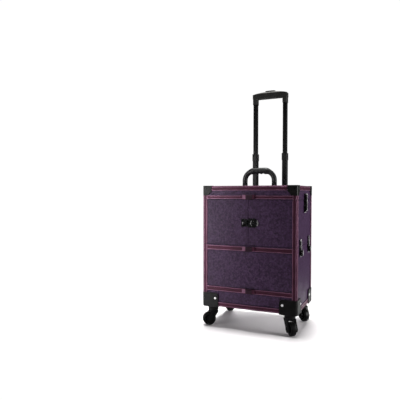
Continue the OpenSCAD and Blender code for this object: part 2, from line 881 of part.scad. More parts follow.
// Wing hinge leaf: its plate widens away from the barrels
module wing_leaf(out, l, outer) {
    zc = wing_hinge_z;
    h = wing_hinge_h;
    neck = h * 0.7;
    s = out ? 1 : -1;
    translate([wing_axis_x, back_y + leaf_t, zc]) rotate([90, 0, 0]) linear_extrude(leaf_t)
        polygon([[s * leaf_clear, -neck / 2], [s * l * 0.55, -h / 2], [s * l, -h / 2],
            [s * l, h / 2], [s * l * 0.55, h / 2], [s * leaf_clear, neck / 2]]);
    for (z = outer ? [-neck / 2, neck / 2 - knuckle] : [-neck / 2 + knuckle + turn_gap]) {
        bl = outer ? knuckle : neck - 2 * knuckle - 2 * turn_gap;
        difference() {
            union() {
                translate([wing_axis_x, wing_axis_y, zc + z]) cylinder(h = bl, r = barrel_r);
                span(wing_axis_x + min(0, s * (leaf_clear + eps)),
                    wing_axis_x + max(0, s * (leaf_clear + eps)),
                    back_y, back_y + leaf_t, zc + z, zc + z + bl);
            }
            translate([wing_axis_x, wing_axis_y, zc + z - 1])
                cylinder(h = bl + 2, d = hinge_pin_d + 2 * run_gap);
        }
    }
}

module wing_hinge_plates() color(BLACK) both_sides() wing_leaf(false, wing_leaf_in, true);

module hinge_pins() color(STEEL) both_sides() {
    neck = wing_hinge_h * 0.7;
    translate([wing_axis_x, wing_axis_y, wing_hinge_z - neck / 2])
        cylinder(h = neck, d = hinge_pin_d);
    translate([lid_hinge_x - lid_hinge_w / 2, lid_axis_y, lid_axis_z]) rotate([0, 90, 0])
        cylinder(h = lid_hinge_w, d = hinge_pin_d);
}

// Wings, drawn on the right
module wing_panels(right) color(LEATHER) on_side(right) {
    rear = back_y - board_t;
    y0 = front_y + board_t + joint_gap;
    lip_z = wing_z0 + board_t + joint_gap;
    span(wing_gap, side_x, front_y, front_y + board_t, wing_z0, wing_z1);
    span(inner_x, side_x, y0, rear - joint_gap, wing_z0, wing_z1);
    span(tower_x + seam, side_x, rear, back_y, wing_z0, wing_z1);
    span(wing_gap, inner_x - joint_gap, y0, rear - clear, wing_z0, wing_z0 + board_t);
    span(wing_gap, wing_gap + lip_board, y0, rear - tray_back, lip_z, lip_z + lip_rise);
}

module wing_profiles(right) color(WINE) on_side(right)
    front_and_back() corner_bar(wing_z0, wing_z1);

module wing_trays(right) color(LINING) on_side(right) for (k = [0, 1]) {
    z = wing_z1 - tray_drop - tray_h - k * tray_step;
    y0 = front_y + board_t;
    y1 = back_y - board_t - tray_back;
    difference() {
        span(tray_in, inner_x, y0, y1, z, z + tray_h);
        span(tray_in + tray_t, inner_x - tray_t, y0 + tray_t, y1 - tray_t,
            z + tray_t, z + tray_h + 1);
    }
}

module wing_hinge_leaf(right) color(BLACK) on_side(right) wing_leaf(true, wing_leaf_out, false);

module wing_fittings(right) color(BLACK) {
    for (back = [false, true]) side_latch_place(right, back) latch_keeper(true);
    lid_latch_place(right) hasp_plate();
    front_latch_place() {
        if (right) latch_plate();
        else latch_keeper(false);
    }
}

// Lid
module lid_panels() color(LEATHER) {
    wall_top = roof_z - board_t - joint_gap;
    end_y = board_t + joint_gap;
    span(-side_x, side_x, front_y, back_y, roof_z - board_t, roof_z);
    front_and_back() span(-side_x, side_x, back_y - board_t, back_y, lid_z, wall_top);
    both_sides() span(inner_x, side_x, front_y + end_y, back_y - end_y, lid_z, wall_top);
}

module lid_profiles() color(WINE) {
    four_corners() corner_bar(lid_z, top_z - lid_cap_h);
    front_and_back() translate([0, case_y + body_d / 2, top_z])
        along_x(body_w - 2 * lid_cap_w) profile_section();
    both_sides() translate([body_w / 2, case_y, top_z])
        along_y(body_d - 2 * lid_cap_w) profile_section();
    front_band(lid_z + lid_band_rise, lid_band_h);
}

module lid_cap() {
    w = lid_cap_w - prof_t;
    h = lid_cap_h - prof_t;
    leg = prof_leg + 1;
    difference() {
        translate([0, 0, -h]) linear_extrude(h + cap_t) cap_plan(w, cap_t, cap_r);
        translate([-far, -far, -far]) cube([far, far, far]);
        plate_slopes(w, -h, w - leg, leg - h);
        translate([-w, -w, -eps]) linear_extrude(far)
            polygon([[-1, -1], [w - leg, -1], [w - leg, 0], [0, w - leg], [-1, w - leg]]);
    }
}

module lid_corners() color(BLACK) {
    four_corners() translate([side_x, back_y, roof_z]) lid_cap();
}

module lid_rivets_and_pins() color(STEEL) {
    front_and_back() both_sides() {
        translate([side_x - lid_rivet_in, front_y - cap_t, roof_z - lid_rivet_in]) scale(0.7) rivet();
        on_right_side(front_y + lid_rivet_in, roof_z - lid_rivet_in)
            translate([0, -cap_t, 0]) scale(0.7) rivet();
    }
    pin_l = eye_w + 2 * (ear_t + clear);
    for (s = [-1, 1]) translate([handle_shift + s * handle_span / 2 - pin_l / 2, case_y, pivot_z])
        rotate([0, 90, 0]) cylinder(h = pin_l, d = pin_d);
}

module lid_fittings() color(STEEL) {
    for (right = [false, true]) lid_latch_place(right) hasp_keeper();
    clasp_place(lid_clasp_z) clasp_bracket();
}

module handle_feet() color(BLACK) translate([handle_shift, case_y, 0]) both_sides()
        translate([handle_span / 2, 0, 0]) {
    ear_x = eye_w / 2 + clear;
    difference() {
        union() {
            span(-ear_x - ear_t, ear_x + ear_t, -eye_r - 3, eye_r + 3, roof_z, roof_z + foot_t);
            for (x = [-ear_x - ear_t, ear_x]) {
                span(x, x + ear_t, -eye_r, eye_r, roof_z + foot_t - eps, pivot_z);
                translate([x, 0, pivot_z]) rotate([0, 90, 0]) cylinder(h = ear_t, r = eye_r);
            }
        }
        translate([-far / 2, 0, pivot_z]) rotate([0, 90, 0])
            cylinder(h = far, d = pin_d + 2 * run_gap);
    }
}

module carry_handle() color(BLACK) translate([handle_shift, case_y, 0]) {
    straight = handle_span / 2 - bend_r;
    bend_z = hold_z - bend_r;
    pitch = 2 * straight / finger_count;
    hollow_z = hold_z - hold_d / 2 - hollow_r + hollow_depth;
    both_sides() {
        difference() {
            union() {
                translate([handle_span / 2 - eye_w / 2, 0, pivot_z]) rotate([0, 90, 0])
                    cylinder(h = eye_w, r = eye_r);
                span(handle_span / 2 - eye_w / 2, handle_span / 2 + eye_w / 2,
                    -eye_r + 0.5, eye_r - 0.5, pivot_z, leg_start + eps);
            }
            translate([0, 0, pivot_z]) rotate([0, 90, 0])
                cylinder(h = far, d = pin_d + 2 * run_gap);
        }
        translate([handle_span / 2, 0, leg_start])
            cylinder(h = bend_z - leg_start + eps, d = leg_d);
        translate([straight, 0, bend_z]) rotate([90, 0, 0]) rotate_extrude(angle = 90)
            translate([bend_r, 0]) circle(d = leg_d);
    }
    difference() {
        translate([-straight - hold_lap, 0, hold_z]) rotate([0, 90, 0])
            cylinder(h = 2 * (straight + hold_lap), d = hold_d);
        for (k = [0:finger_count - 1])
            translate([(k + 0.5) * pitch - straight, hold_d, hollow_z]) rotate([90, 0, 0])
                cylinder(h = 2 * hold_d, r = hollow_r);
    }
}

// Clasps: a bracket on a front band, with a flap that hangs from its pin
module clasp_place(z) {
    translate([clasp_x, front_y, z]) children();
}

module clasp_bracket() {
    w = clasp_w / 2 + clear;
    pin_z = clasp_h / 2 - clasp_barrel;
    front = -clasp_axis - clasp_barrel;
    span(-w - clasp_block - clasp_wing, w + clasp_ear, -clasp_out - clasp_plate, -clasp_out,
        -clasp_wing_h / 2, clasp_wing_h / 2);
    span(-w - clasp_block, -w, front, -clasp_out, -clasp_block_drop, clasp_h / 2);
    span(w, w + clasp_ear, front, -clasp_out, -clasp_ear_drop, clasp_h / 2);
    translate([-w - eps, -clasp_axis, pin_z]) rotate([0, 90, 0])
        cylinder(h = 2 * (w + eps), d = clasp_pin);
}

module clasp_flap() {
    pin_z = clasp_h / 2 - clasp_barrel;
    difference() {
        union() {
            translate([-clasp_w / 2, -clasp_axis, pin_z]) rotate([0, 90, 0])
                cylinder(h = clasp_w, r = clasp_barrel);
            span(-clasp_w / 2, clasp_w / 2, -clasp_axis - clasp_barrel,
                -clasp_axis - clasp_barrel + clasp_flap_t, -clasp_h / 2, pin_z);
        }
        translate([-clasp_w, -clasp_axis, pin_z]) rotate([0, 90, 0])
            cylinder(h = 2 * clasp_w, d = clasp_pin + 2 * run_gap);
    }
}

upper_clasp_z = upper_rail_z + rail_h / 2;
lower_clasp_z = low_rail_z + rail_h / 2;
lid_clasp_z = lid_z + clasp_h / 2 + clasp_lift;

module rail_clasp_brackets() color(STEEL)
    for (z = [upper_clasp_z, lower_clasp_z]) clasp_place(z) clasp_bracket();

module clasp_tab(z) color(BLACK) clasp_place(z) clasp_flap();

// Drawers
module drawer_front(x, z0, z1) color(LEATHER)
    span(-x, x, front_y, front_y + board_t, z0, z1);

module drawer_box(x, z, h) color(LINING) difference() {
    span(-x, x, box_y, box_y + box_d, z, z + h);
    span(-x + box_t, x - box_t, box_y + box_t, box_y + box_d - box_t, z + box_t, z + h + 1);
}

// Casters, drawn with the stem on the axis and the trail along +X
module caster_place(k) {
    c = CASTERS[k];
    translate([c[1] * stem_x, case_y + c[2] * stem_y, 0]) rotate([0, 0, c[3]]) children();
}

module cheek() {
    translate([0, cheek_y + cheek_t, 0]) rotate([90, 0, 0]) linear_extrude(cheek_t) {
        polygon([[-crown_reach, crown_z + eps], [crown_reach, crown_z + eps],
            [trail + cheek_r, axle_z], [trail - cheek_r, axle_z]]);
        translate([trail, axle_z]) circle(cheek_r);
    }
}

module caster_fork() color(BLACK) {
    head_y = cheek_y + cheek_t + joint_gap;
    difference() {
        union() {
            translate([0, 0, crown_z]) cylinder(h = crown_t, r = crown_r);
            span(-crown_reach, crown_reach, -cheek_y - cheek_t, cheek_y + cheek_t,
                crown_z, crown_z + crown_t - 2);
            translate([0, 0, crown_top - eps]) cylinder(h = swivel_gap + stem_l, d = stem_d);
            cheek();
            mirror([0, 1, 0]) cheek();
        }
        translate([trail, far / 2, axle_z]) rotate([90, 0, 0])
            cylinder(h = far, d = axle_d + 2 * run_gap);
    }
    translate([trail, head_y + eps, axle_z]) rotate([90, 0, 0])
        cylinder(h = 2 * (head_y + eps), d = axle_d);
    for (s = [0, 1]) mirror([0, s, 0]) translate([trail, -head_y, axle_z])
        rotate([90, 0, 0]) cylinder(h = axle_head, r = axle_head_r);
}

module caster_wheel() color(BLACK)
    translate([trail, 0, axle_z]) rotate([90, 0, 0]) rotate_extrude() difference() {
        union() {
            translate([axle_d / 2 + run_gap, -wheel_w / 2])
                square([wheel_d / 2 - tyre_r - axle_d / 2 - run_gap, wheel_w]);
            translate([wheel_d / 2 - 2 * tyre_r, -wheel_w / 2 + tyre_r])
                square([2 * tyre_r, wheel_w - 2 * tyre_r]);
            for (s = [-1, 1]) translate([wheel_d / 2 - tyre_r, s * (wheel_w / 2 - tyre_r)])
                circle(tyre_r);
        }
        for (s = [-1, 1]) translate([(hub_r + 2 * axle_d / 2 + 4) / 2, s * wheel_w / 2])
            square([hub_r - axle_d / 2 - 4, 2 * hub_in], center = true);
    }

base_panels();
rear_panel();
base_profiles();
caster_corners();
base_rivets();
drawer_runners();
trolley_outer_tubes();
trolley_top_bracket();
trolley_foot_bracket();
wing_hinge_plates();
lid_hinge_plates();
hinge_pins();
side_latch_plates();
rail_clasp_brackets();
for (s = SIDES) {
    right = s == "right";
    wing_panels(right);
    wing_profiles(right);
    wing_trays(right);
    wing_hinge_leaf(right);
    wing_fittings(right);
    color(BLACK) lid_latch_place(right) hasp_lever();
    color(GREY) side_latch_place(right, false) latch_turn();
    color(GREY) side_latch_place(right, true) latch_turn();
}
color(GREY) front_latch_place() latch_turn();  // front_latch_turn
lid_panels();
lid_profiles();
lid_corners();
lid_rivets_and_pins();
lid_hinge_leaves();
lid_fittings();
handle_feet();
carry_handle();
clasp_tab(lid_clasp_z);  // lid_clasp
clasp_tab(upper_clasp_z);  // upper_rail_clasp
clasp_tab(lower_clasp_z);  // lower_rail_clasp
drawer_front(deep_x, deep_z0, deep_z1);  // deep_drawer_front
drawer_box(deep_box_x, deep_box_z, deep_box_h);  // deep_drawer_box
drawer_front(shallow_x, shallow_z0, shallow_z1);  // shallow_drawer_front
drawer_box(shallow_box_x, shallow_box_z, shallow_box_h);  // shallow_drawer_box
trolley_middle_tubes();
trolley_collars();
trolley_upper_tubes();
trolley_grip();
trolley_button();
trolley_lock_rods();
for (k = [0:3]) {
    caster_place(k) caster_fork();
    caster_place(k) caster_wheel();
}
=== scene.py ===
"""Looks of the rolling makeup case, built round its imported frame.

Covered boards, wine red edge profiles, moulded corners, bright rivets, black fittings and
the telescopic trolley are dressed piece by piece. Sizes in the classes are millimetres.
"""

import json
import logging
import math
from dataclasses import dataclass
from enum import Enum
from functools import cache, partial
from typing import Callable, Sequence

import bpy
from mathutils import Matrix, Vector


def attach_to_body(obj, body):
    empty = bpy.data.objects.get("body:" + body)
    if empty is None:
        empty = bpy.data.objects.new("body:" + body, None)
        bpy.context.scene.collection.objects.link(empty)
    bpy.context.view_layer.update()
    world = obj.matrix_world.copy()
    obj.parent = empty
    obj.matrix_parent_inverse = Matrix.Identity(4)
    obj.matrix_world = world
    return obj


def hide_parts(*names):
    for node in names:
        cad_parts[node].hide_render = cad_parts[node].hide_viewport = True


LOG = logging.getLogger("makeup_case")
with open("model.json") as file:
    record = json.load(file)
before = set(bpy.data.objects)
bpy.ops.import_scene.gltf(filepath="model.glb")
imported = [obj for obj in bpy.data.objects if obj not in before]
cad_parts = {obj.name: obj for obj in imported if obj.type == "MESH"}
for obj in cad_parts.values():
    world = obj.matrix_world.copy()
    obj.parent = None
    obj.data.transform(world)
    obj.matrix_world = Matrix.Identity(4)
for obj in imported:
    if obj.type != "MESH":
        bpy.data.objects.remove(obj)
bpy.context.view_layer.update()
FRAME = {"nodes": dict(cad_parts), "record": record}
MM = 0.001
BODY_OF = {
    node: body
    for body, nodes in FRAME["record"]["behaviour"]["bodies"].items()
    for node in nodes
}

Piece = bpy.types.Object
Pair = tuple[float, float]
Triple = tuple[float, float, float]
Picker = Callable[[Vector, Vector], bool]
ANY_BREADTH: Pair = (0.0, math.inf)
# Least part of a normal along an axis at which a face counts as square to that axis.
SQUARE = 0.9995
# Range that most values of a noise pattern lie in.
USUAL: Pair = (0.3, 0.7)


class Axis(Enum):
    """Directions that a round piece can point in, each as the turn that brings Z there."""

    X = (0.0, math.pi / 2, 0.0)
    Y = (-math.pi / 2, 0.0, 0.0)
    Z = (0.0, 0.0, 0.0)


@dataclass(frozen=True)
class Plan:
    """Places that several sub-assemblies share; fronts are measured from the middle."""

    middle_y: float = -17.65
    base_side: float = 188.4
    base_front: float = 138.4
    lid_side: float = 186.8
    lid_front: float = 136.8
    handle_x: float = 2.5
    handle_span: float = 122.0
    pivot_z: float = 562.4

    def pivot(self, side: int) -> Triple:
        """Gives the carry handle's pivot on the left, -1, or on the right, 1."""
        return (self.handle_x + side * self.handle_span / 2, self.middle_y, self.pivot_z)


PLAN = Plan()


def linear(code: str) -> tuple[float, float, float, float]:
    """Turns an sRGB hex colour into linear values, by the curve of the sRGB standard.

    Args:
        code: Colour as "#rrggbb".

    Returns:
        Red, green, blue and alpha.
    """
    parts = [int(code[k : k + 2], 16) / 255 for k in (1, 3, 5)]
    return (*(p / 12.92 if p <= 0.04045 else ((p + 0.055) / 1.055) ** 2.4 for p in parts), 1.0)


def add_node(
    tree: bpy.types.NodeTree, kind: str, inputs: dict | None = None, **settings: object
) -> bpy.types.Node:
    """Adds one node to a tree.

    Args:
        tree: Node tree of a material or world.
        kind: Blender's name of the node's type, after its ShaderNode prefix.
        inputs: Sockets by name or number, each with a value or another node's output.
        **settings: Properties of the node itself.

    Returns:
        The new node.
    """
    node = tree.nodes.new(f"ShaderNode{kind}")
    for key, value in settings.items():
        setattr(node, key, value)
    for socket, value in (inputs or {}).items():
        if isinstance(value, bpy.types.NodeSocket):
            tree.links.new(value, node.inputs[socket])
        else:
            node.inputs[socket].default_value = value
    return node


def new_material(name: str) -> tuple[bpy.types.Material, partial, bpy.types.NodeSocket]:
    """Starts a material.

    Args:
        name: The material's name.

    Returns:
        The material, add_node for its empty tree, and the Object coordinates in it.
    """
    material = bpy.data.materials.new(name)
    material.use_nodes = True
    material.node_tree.nodes.clear()
    add = partial(add_node, material.node_tree)
    return material, add, add("TexCoord").outputs["Object"]


def per_metre(size_mm: float) -> float:
    """Texture scale for a pattern whose cells are this many millimetres wide."""
    return 1 / (size_mm * MM)


def set_mode(mode: str) -> None:
    """Puts the active piece into "EDIT" or "OBJECT" mode."""
    bpy.ops.object.mode_set(mode=mode)


def new_object(name: str, data: bpy.types.ID) -> Piece:
    """Puts a new object into the scene.

    Args:
        name: The object's name.
        data: Its mesh, curve, light or camera.

    Returns:
        The object.
    """
    thing = bpy.data.objects.new(name, data)
    bpy.context.scene.collection.objects.link(thing)
    return thing


@dataclass(frozen=True)
class Leatherette:
    """Artificial leather, embossed with a pebble grain and wrapped over board.

    A soft semi-gloss skin: the grain breaks the reflections into small glints, flecks of a
    lighter colour are painted glints, and painted shade darkens the creases between the pebbles.
    """

    name: str
    colour: str
    crease: str
    glint: str
    roughness: float = 0.46
    haze: float = 0.06
    # The real grain is about 1.5 mm wide; it is drawn coarser so that it shows.
    pebble: float = 5.2
    uneven: float = 0.85
    crease_range: Pair = (0.15, 0.75)
    pore: float = 2.1
    pore_share: float = 0.35
    fleck: float = 7.0
    fleck_range: Pair = (0.42, 0.66)
    fleck_share: float = 0.36
    cloud: float = 85.0
    depth: float = 0.35
    relief: float = 0.6
    ior: float = 1.48
    gloss: float = 0.24

    def material(self) -> bpy.types.Material:
        """Builds the skin's shader.

        Returns:
            The material.
        """
        material, add, place = new_material(self.name)
        pebbles = add(
            "TexVoronoi",
            {"Vector": place, "Scale": per_metre(self.pebble), "Randomness": self.uneven},
            feature="SMOOTH_F1",
        )
        pores, flecks = (
            add(
                "TexNoise",
                {"Vector": place, "Scale": per_metre(cell), "Detail": detail, "Roughness": 0.6},
            )
            for cell, detail in ((self.pore, 3.0), (self.fleck, 2.0))
        )
        clouds = add("TexNoise", {"Vector": place, "Scale": per_metre(self.cloud), "Detail": 2.0})
        dome = add(
            "MapRange",
            {"Value": pebbles.outputs["Distance"], "From Min": self.crease_range[0],
             "From Max": self.crease_range[1], "To Min": 1.0, "To Max": 0.0},
        )
        # Painted shade: the creases between the pebbles take the darker crease colour.
        skin = add(
            "Mix",
            {"Factor": dome.outputs["Result"], "A": linear(self.crease), "B": linear(self.colour)},
            data_type="RGBA",
        )
        # Painted glints: flecks of the lighter glint colour stand in for highlights on the grain.
        speckle = add(
            "MapRange",
            {"Value": flecks.outputs["Fac"], "From Min": self.fleck_range[0],
             "From Max": self.fleck_range[1], "To Max": self.fleck_share},
        )
        dusted = add(
            "Mix",
            {"Factor": speckle.outputs["Result"], "A": skin.outputs[2], "B": linear(self.glint)},
            data_type="RGBA",
        )
        shade = add(
            "MapRange",
            {"Value": clouds.outputs["Fac"], "From Min": USUAL[0], "From Max": USUAL[1],
             "To Min": self.roughness - self.haze, "To Max": self.roughness + self.haze},
        )
        height = add(
            "Math",
            {0: pores.outputs["Fac"], 1: self.pore_share, 2: dome.outputs["Result"]},
            operation="MULTIPLY_ADD",
        )
        bump = add(
            "Bump",
            {"Strength": self.depth, "Distance": self.relief * MM,
             "Height": height.outputs["Value"]},
        )
        shader = add(
            "BsdfPrincipled",
            {"Base Color": dusted.outputs[2], "Roughness": shade.outputs["Result"],
             "IOR": self.ior, "Specular IOR Level": self.gloss, "Normal": bump.outputs["Normal"]},
        )
        add("OutputMaterial", {"Surface": shader.outputs["BSDF"]})
        return material


@dataclass(frozen=True)
class Anodised:
    """Anodised aluminium: extruded bars and drawn tubes with a dyed oxide skin.

    The metal keeps a coloured mirror under a satin haze, with faint drawing lines and
    patches where the dye took a little more or less.
    """

    name: str
    colour: str
    dark: str
    roughness: float
    metallic: float = 1.0
    # Drawing lines are finer than 0.1 mm on the real bar; they are drawn at this width.
    line: float = 0.9
    patch: float = 42.0
    stretch: Triple = (1.0, 1.0, 0.03)
    haze: float = 0.08
    gloss: float = 0.5
    depth: float = 0.08
    relief: float = 0.05

    def material(self) -> bpy.types.Material:
        """Builds the metal's shader.

        Returns:
            The material.
        """
        material, add, place = new_material(self.name)
        drawn = add("Mapping", {"Vector": place, "Scale": self.stretch})
        lines = add(
            "TexNoise",
            {"Vector": drawn.outputs["Vector"], "Scale": per_metre(self.line), "Detail": 2.0},
        )
        patches = add("TexNoise", {"Vector": place, "Scale": per_metre(self.patch), "Detail": 3.0})
        dye = add(
            "MapRange",
            {"Value": patches.outputs["Fac"], "From Min": USUAL[0], "From Max": USUAL[1]},
        )
        colour = add(
            "Mix",
            {"Factor": dye.outputs["Result"], "A": linear(self.dark), "B": linear(self.colour)},
            data_type="RGBA",
        )
        rough = add(
            "MapRange",
            {"Value": lines.outputs["Fac"], "From Min": USUAL[0], "From Max": USUAL[1],
             "To Min": self.roughness - self.haze, "To Max": self.roughness + self.haze},
        )
        bump = add(
            "Bump",
            {"Strength": self.depth, "Distance": self.relief * MM, "Height": lines.outputs["Fac"]},
        )
        shader = add(
            "BsdfPrincipled",
            {"Base Color": colour.outputs[2], "Metallic": self.metallic,
             "Roughness": rough.outputs["Result"], "Specular IOR Level": self.gloss,
             "Normal": bump.outputs["Normal"]},
        )
        add("OutputMaterial", {"Surface": shader.outputs["BSDF"]})
        return material


@dataclass(frozen=True)
class Moulded:
    """Injection moulded plastic or rubber with a spark-eroded grain.

    The grain softens the reflections; dust and handling lighten it in patches.
    """

    name: str
    colour: str
    worn: str
    roughness: float
    # Spark-eroded grain is about 0.2 mm; it is drawn coarser so that it shows.
    grain: float = 1.4
    patch: float = 34.0
    worn_range: Pair = (0.42, 0.72)
    haze: float = 0.06
    depth: float = 0.18
    relief: float = 0.12
    ior: float = 1.5
    gloss: float = 0.34

    def material(self) -> bpy.types.Material:
        """Builds the plastic's shader.

        Returns:
            The material.
        """
        material, add, place = new_material(self.name)
        grain = add("TexNoise", {"Vector": place, "Scale": per_metre(self.grain), "Detail": 2.0})
        patches = add(
            "TexNoise",
            {"Vector": place, "Scale": per_metre(self.patch), "Detail": 4.0, "Roughness": 0.6},
        )
        wear = add(
            "MapRange",
            {"Value": patches.outputs["Fac"], "From Min": self.worn_range[0],
             "From Max": self.worn_range[1]},
        )
        colour = add(
            "Mix",
            {"Factor": wear.outputs["Result"], "A": linear(self.colour), "B": linear(self.worn)},
            data_type="RGBA",
        )
        rough = add(
            "MapRange",
            {"Value": patches.outputs["Fac"], "From Min": USUAL[0], "From Max": USUAL[1],
             "To Min": self.roughness + self.haze, "To Max": self.roughness - self.haze},
        )
        bump = add(
            "Bump",
            {"Strength": self.depth, "Distance": self.relief * MM, "Height": grain.outputs["Fac"]},
        )
        shader = add(
            "BsdfPrincipled",
            {"Base Color": colour.outputs[2], "Roughness": rough.outputs["Result"],
             "IOR": self.ior, "Specular IOR Level": self.gloss, "Normal": bump.outputs["Normal"]},
        )
        add("OutputMaterial", {"Surface": shader.outputs["BSDF"]})
        return material


Finish = Leatherette | Anodised | Moulded


class Finishes:
    """All finishes of the case."""

    skin = Leatherette("leatherette_purple", "#392040", "#241229", "#5d4367")
    wine = Anodised("anodised_wine", "#4b1f35", "#3c182a", 0.44, metallic=0.3, gloss=0.25)
    # Painted highlight: lighter wine for the profiles' lips and the clasps' block, where the light
    # catches them.
    lip = Anodised("anodised_wine_lip", "#8f637d", "#7f556d", 0.36, metallic=0.5)
    plum = Anodised("anodised_plum_tab", "#351a2b", "#291321", 0.4, metallic=0.5)
    corner = Moulded("moulded_black", "#100f0f", "#1a1819", 0.42, gloss=0.24)
    grip = Moulded("soft_black_grip", "#1d1d1d", "#292929", 0.46)
    pull = Moulded("satin_black_pull", "#282827", "#363635", 0.42)
    # Painted highlight: lighter grey on the grip's upturned faces, for the light from above.
    pull_top = Moulded("soft_grey_pull", "#73726e", "#85847f", 0.5)
    wheel = Moulded("cast_black_tyre", "#0c0c0c", "#161616", 0.36)
    hub = Moulded("gloss_black_hub", "#0d0d0d", "#151516", 0.22, depth=0.05)
    lacquer = Anodised("black_plated_steel", "#0f0f10", "#0b0b0b", 0.3, metallic=0.4)
    nickel = Anodised("bright_nickel", "#d5d2cf", "#b9b5b3", 0.2, 0.6, stretch=(1, 1, 1))
    # Painted reflection: near-white, hardly metallic paint on the rivets stands for the white room
    # their chrome mirrors.
    chrome = Anodised(
        "polished_chrome", "#ffffff", "#f6f6f8", 0.25, 0.15, haze=0.04, stretch=(1, 1, 1)
    )
    # Painted glint: near-white paint on the fittings' rims, only where the highlights fall.
    rim = Anodised("polished_rim", "#dad6da", "#cac6ca", 0.25, 0.2, haze=0.04, stretch=(1, 1, 1))
    low_tube = Anodised("satin_grey_tube", "#4f4a48", "#423d3b", 0.4, metallic=0.3)
    mid_tube = Anodised("satin_dark_tube", "#100f0f", "#0b0a0a", 0.42, metallic=0.2, gloss=0.25)
    top_tube = Anodised("satin_black_tube", "#0b0a0a", "#080808", 0.45, metallic=0.1, gloss=0.2)
    lining = Moulded("moulded_lining", "#1c1820", "#28232e", 0.55)


@cache
def paint(finish: Finish) -> bpy.types.Material:
    """Gives a finish's material, which is made on first use."""
    return finish.material()


@dataclass(frozen=True)
class Bench:
    """The bench on which pieces are modelled, one at a time, with Blender's operators."""

    # Corners nearer than the gap are merged, and faces that turn by less than the angle.
    weld_gap: float = 0.005
    weld_angle: float = 0.6
    # Edges sharper than the first angle are rounded, and up to the second shaded smooth.
    round_angle: float = 34.0
    smooth_angle: float = 38.0

    def clear(self) -> None:
        """Leaves edit mode and deselects everything."""
        if bpy.context.object and bpy.context.object.mode != "OBJECT":
            set_mode("OBJECT")
        bpy.ops.object.select_all(action="DESELECT")

    def take(self, piece: Piece) -> None:
        """Makes a piece the only one selected.

        Args:
            piece: Any object of the scene.
        """
        self.clear()
        piece.select_set(True)
        bpy.context.view_layer.objects.active = piece

    @staticmethod
    def breadth(piece: Piece, face: bpy.types.MeshPolygon) -> float:
        """Measures how broad a face is.

        Args:
            piece: The piece that it belongs to.
            face: One of the piece's faces.

        Returns:
            Its mean breadth: twice its area over the length of its outline.
        """
        corners = [piece.data.vertices[index].co for index in face.vertices]
        outline = sum((a - b).length for a, b in zip(corners, corners[1:] + corners[:1]))
        return 2 * face.area / outline / MM

    def pick(self, piece: Piece, wanted: Picker, breadths: Pair = ANY_BREADTH) -> int:
        """Selects faces in edit mode by their place and normal.

        Args:
            piece: The piece on the bench.
            wanted: Test on a face's centre in millimetres and its normal.
            breadths: Mean breadths between which a face has to lie.

        Returns:
            The number of faces selected. The piece is left in edit mode.
        """
        self.take(piece)
        set_mode("EDIT")
        bpy.ops.mesh.select_mode(type="FACE")
        bpy.ops.mesh.select_all(action="DESELECT")
        set_mode("OBJECT")
        count = 0
        for face in piece.data.polygons:
            fits = breadths[0] <= self.breadth(piece, face) < breadths[1]
            face.select = fits and wanted(face.center / MM, face.normal)
            count += face.select
        set_mode("EDIT")
        return count

    def soften(self, piece: Piece, width: float, segments: int = 2) -> None:
        """Rounds a piece's sharp edges and keeps its flat faces evenly lit.

        Args:
            piece: The piece to round.
            width: Width of the rounding.
            segments: Faces across the rounding.
        """
        self.take(piece)
        bevel = piece.modifiers.new("rounding", "BEVEL")
        bevel.width = width * MM
        bevel.segments = segments
        bevel.limit_method = "ANGLE"
        bevel.angle_limit = math.radians(self.round_angle)
        bpy.ops.object.modifier_apply(modifier=bevel.name)
        bpy.ops.object.shade_smooth_by_angle(angle=math.radians(self.smooth_angle))
        even = piece.modifiers.new("even_light", "WEIGHTED_NORMAL")
        even.keep_sharp = True
        bpy.ops.object.modifier_apply(modifier=even.name)

    def copy_of(self, node: str, name: str) -> Piece:
        """Copies a frame node's shape and merges its triangles into whole faces.

        Args:
            node: Name of the node.
            name: Name of the new piece.

        Returns:
            The new piece.
        """
        piece = new_object(name, FRAME["nodes"][node].data.copy())
        piece.data.materials.clear()
        self.take(piece)
        set_mode("EDIT")
        bpy.ops.mesh.select_all(action="SELECT")
        bpy.ops.mesh.remove_doubles(threshold=self.weld_gap * MM)
        bpy.ops.mesh.dissolve_limited(angle_limit=math.radians(self.weld_angle))
        set_mode("OBJECT")
        return piece

    def round_bar(
        self, name: str, radius: float, length: float, centre: Triple, axis: Axis, sides: int
    ) -> Piece:
        """Adds a cylinder at its size and place.

        Args:
            name: Name of the new piece.
            radius: Radius.
            length: Length along the axis.
            centre: Middle of the cylinder.
            axis: Direction that it points in.
            sides: Number of sides.

        Returns:
            The cylinder, with its place in its mesh.
        """
        self.clear()
        bpy.ops.mesh.primitive_cylinder_add(
            vertices=sides, radius=radius * MM, depth=length * MM,
            location=Vector(centre) * MM, rotation=axis.value,
        )
        return self.named(name)

    def block(self, name: str, low: Triple, high: Triple) -> Piece:
        """Adds a box between two corners.

        Args:
            name: Name of the new piece.
            low: Lowest corner.
            high: Highest corner.

        Returns:
            The box, with its place in its mesh.
        """
        self.clear()
        low_v, high_v = Vector(low), Vector(high)
        bpy.ops.mesh.primitive_cube_add(
            size=1, location=(low_v + high_v) / 2 * MM, scale=(high_v - low_v) * MM
        )
        return self.named(name)

    def named(self, name: str) -> Piece:
        """Names the new piece on the bench and puts its place into its mesh.

        Args:
            name: Name of the piece.

        Returns:
            The piece.
        """
        piece = bpy.context.object
        piece.name = name
        bpy.ops.object.transform_apply()
        return piece

    def placed(self, piece: Piece, name: str, place: Matrix) -> Piece:
        """Copies a piece with its own mesh to another place.

        Args:
            piece: The model piece, drawn about the origin.
            name: Name of the copy.
            place: Turn and shift of the copy, in metres.

        Returns:
            The copy, with its place in its mesh.
        """
        self.take(piece)
        bpy.ops.object.duplicate(linked=False)
        bpy.context.object.matrix_world = place
        return self.named(name)

    def drop(self, piece: Piece) -> None:
        """Throws a model piece away once its copies are made."""
        self.take(piece)
        bpy.ops.object.delete()

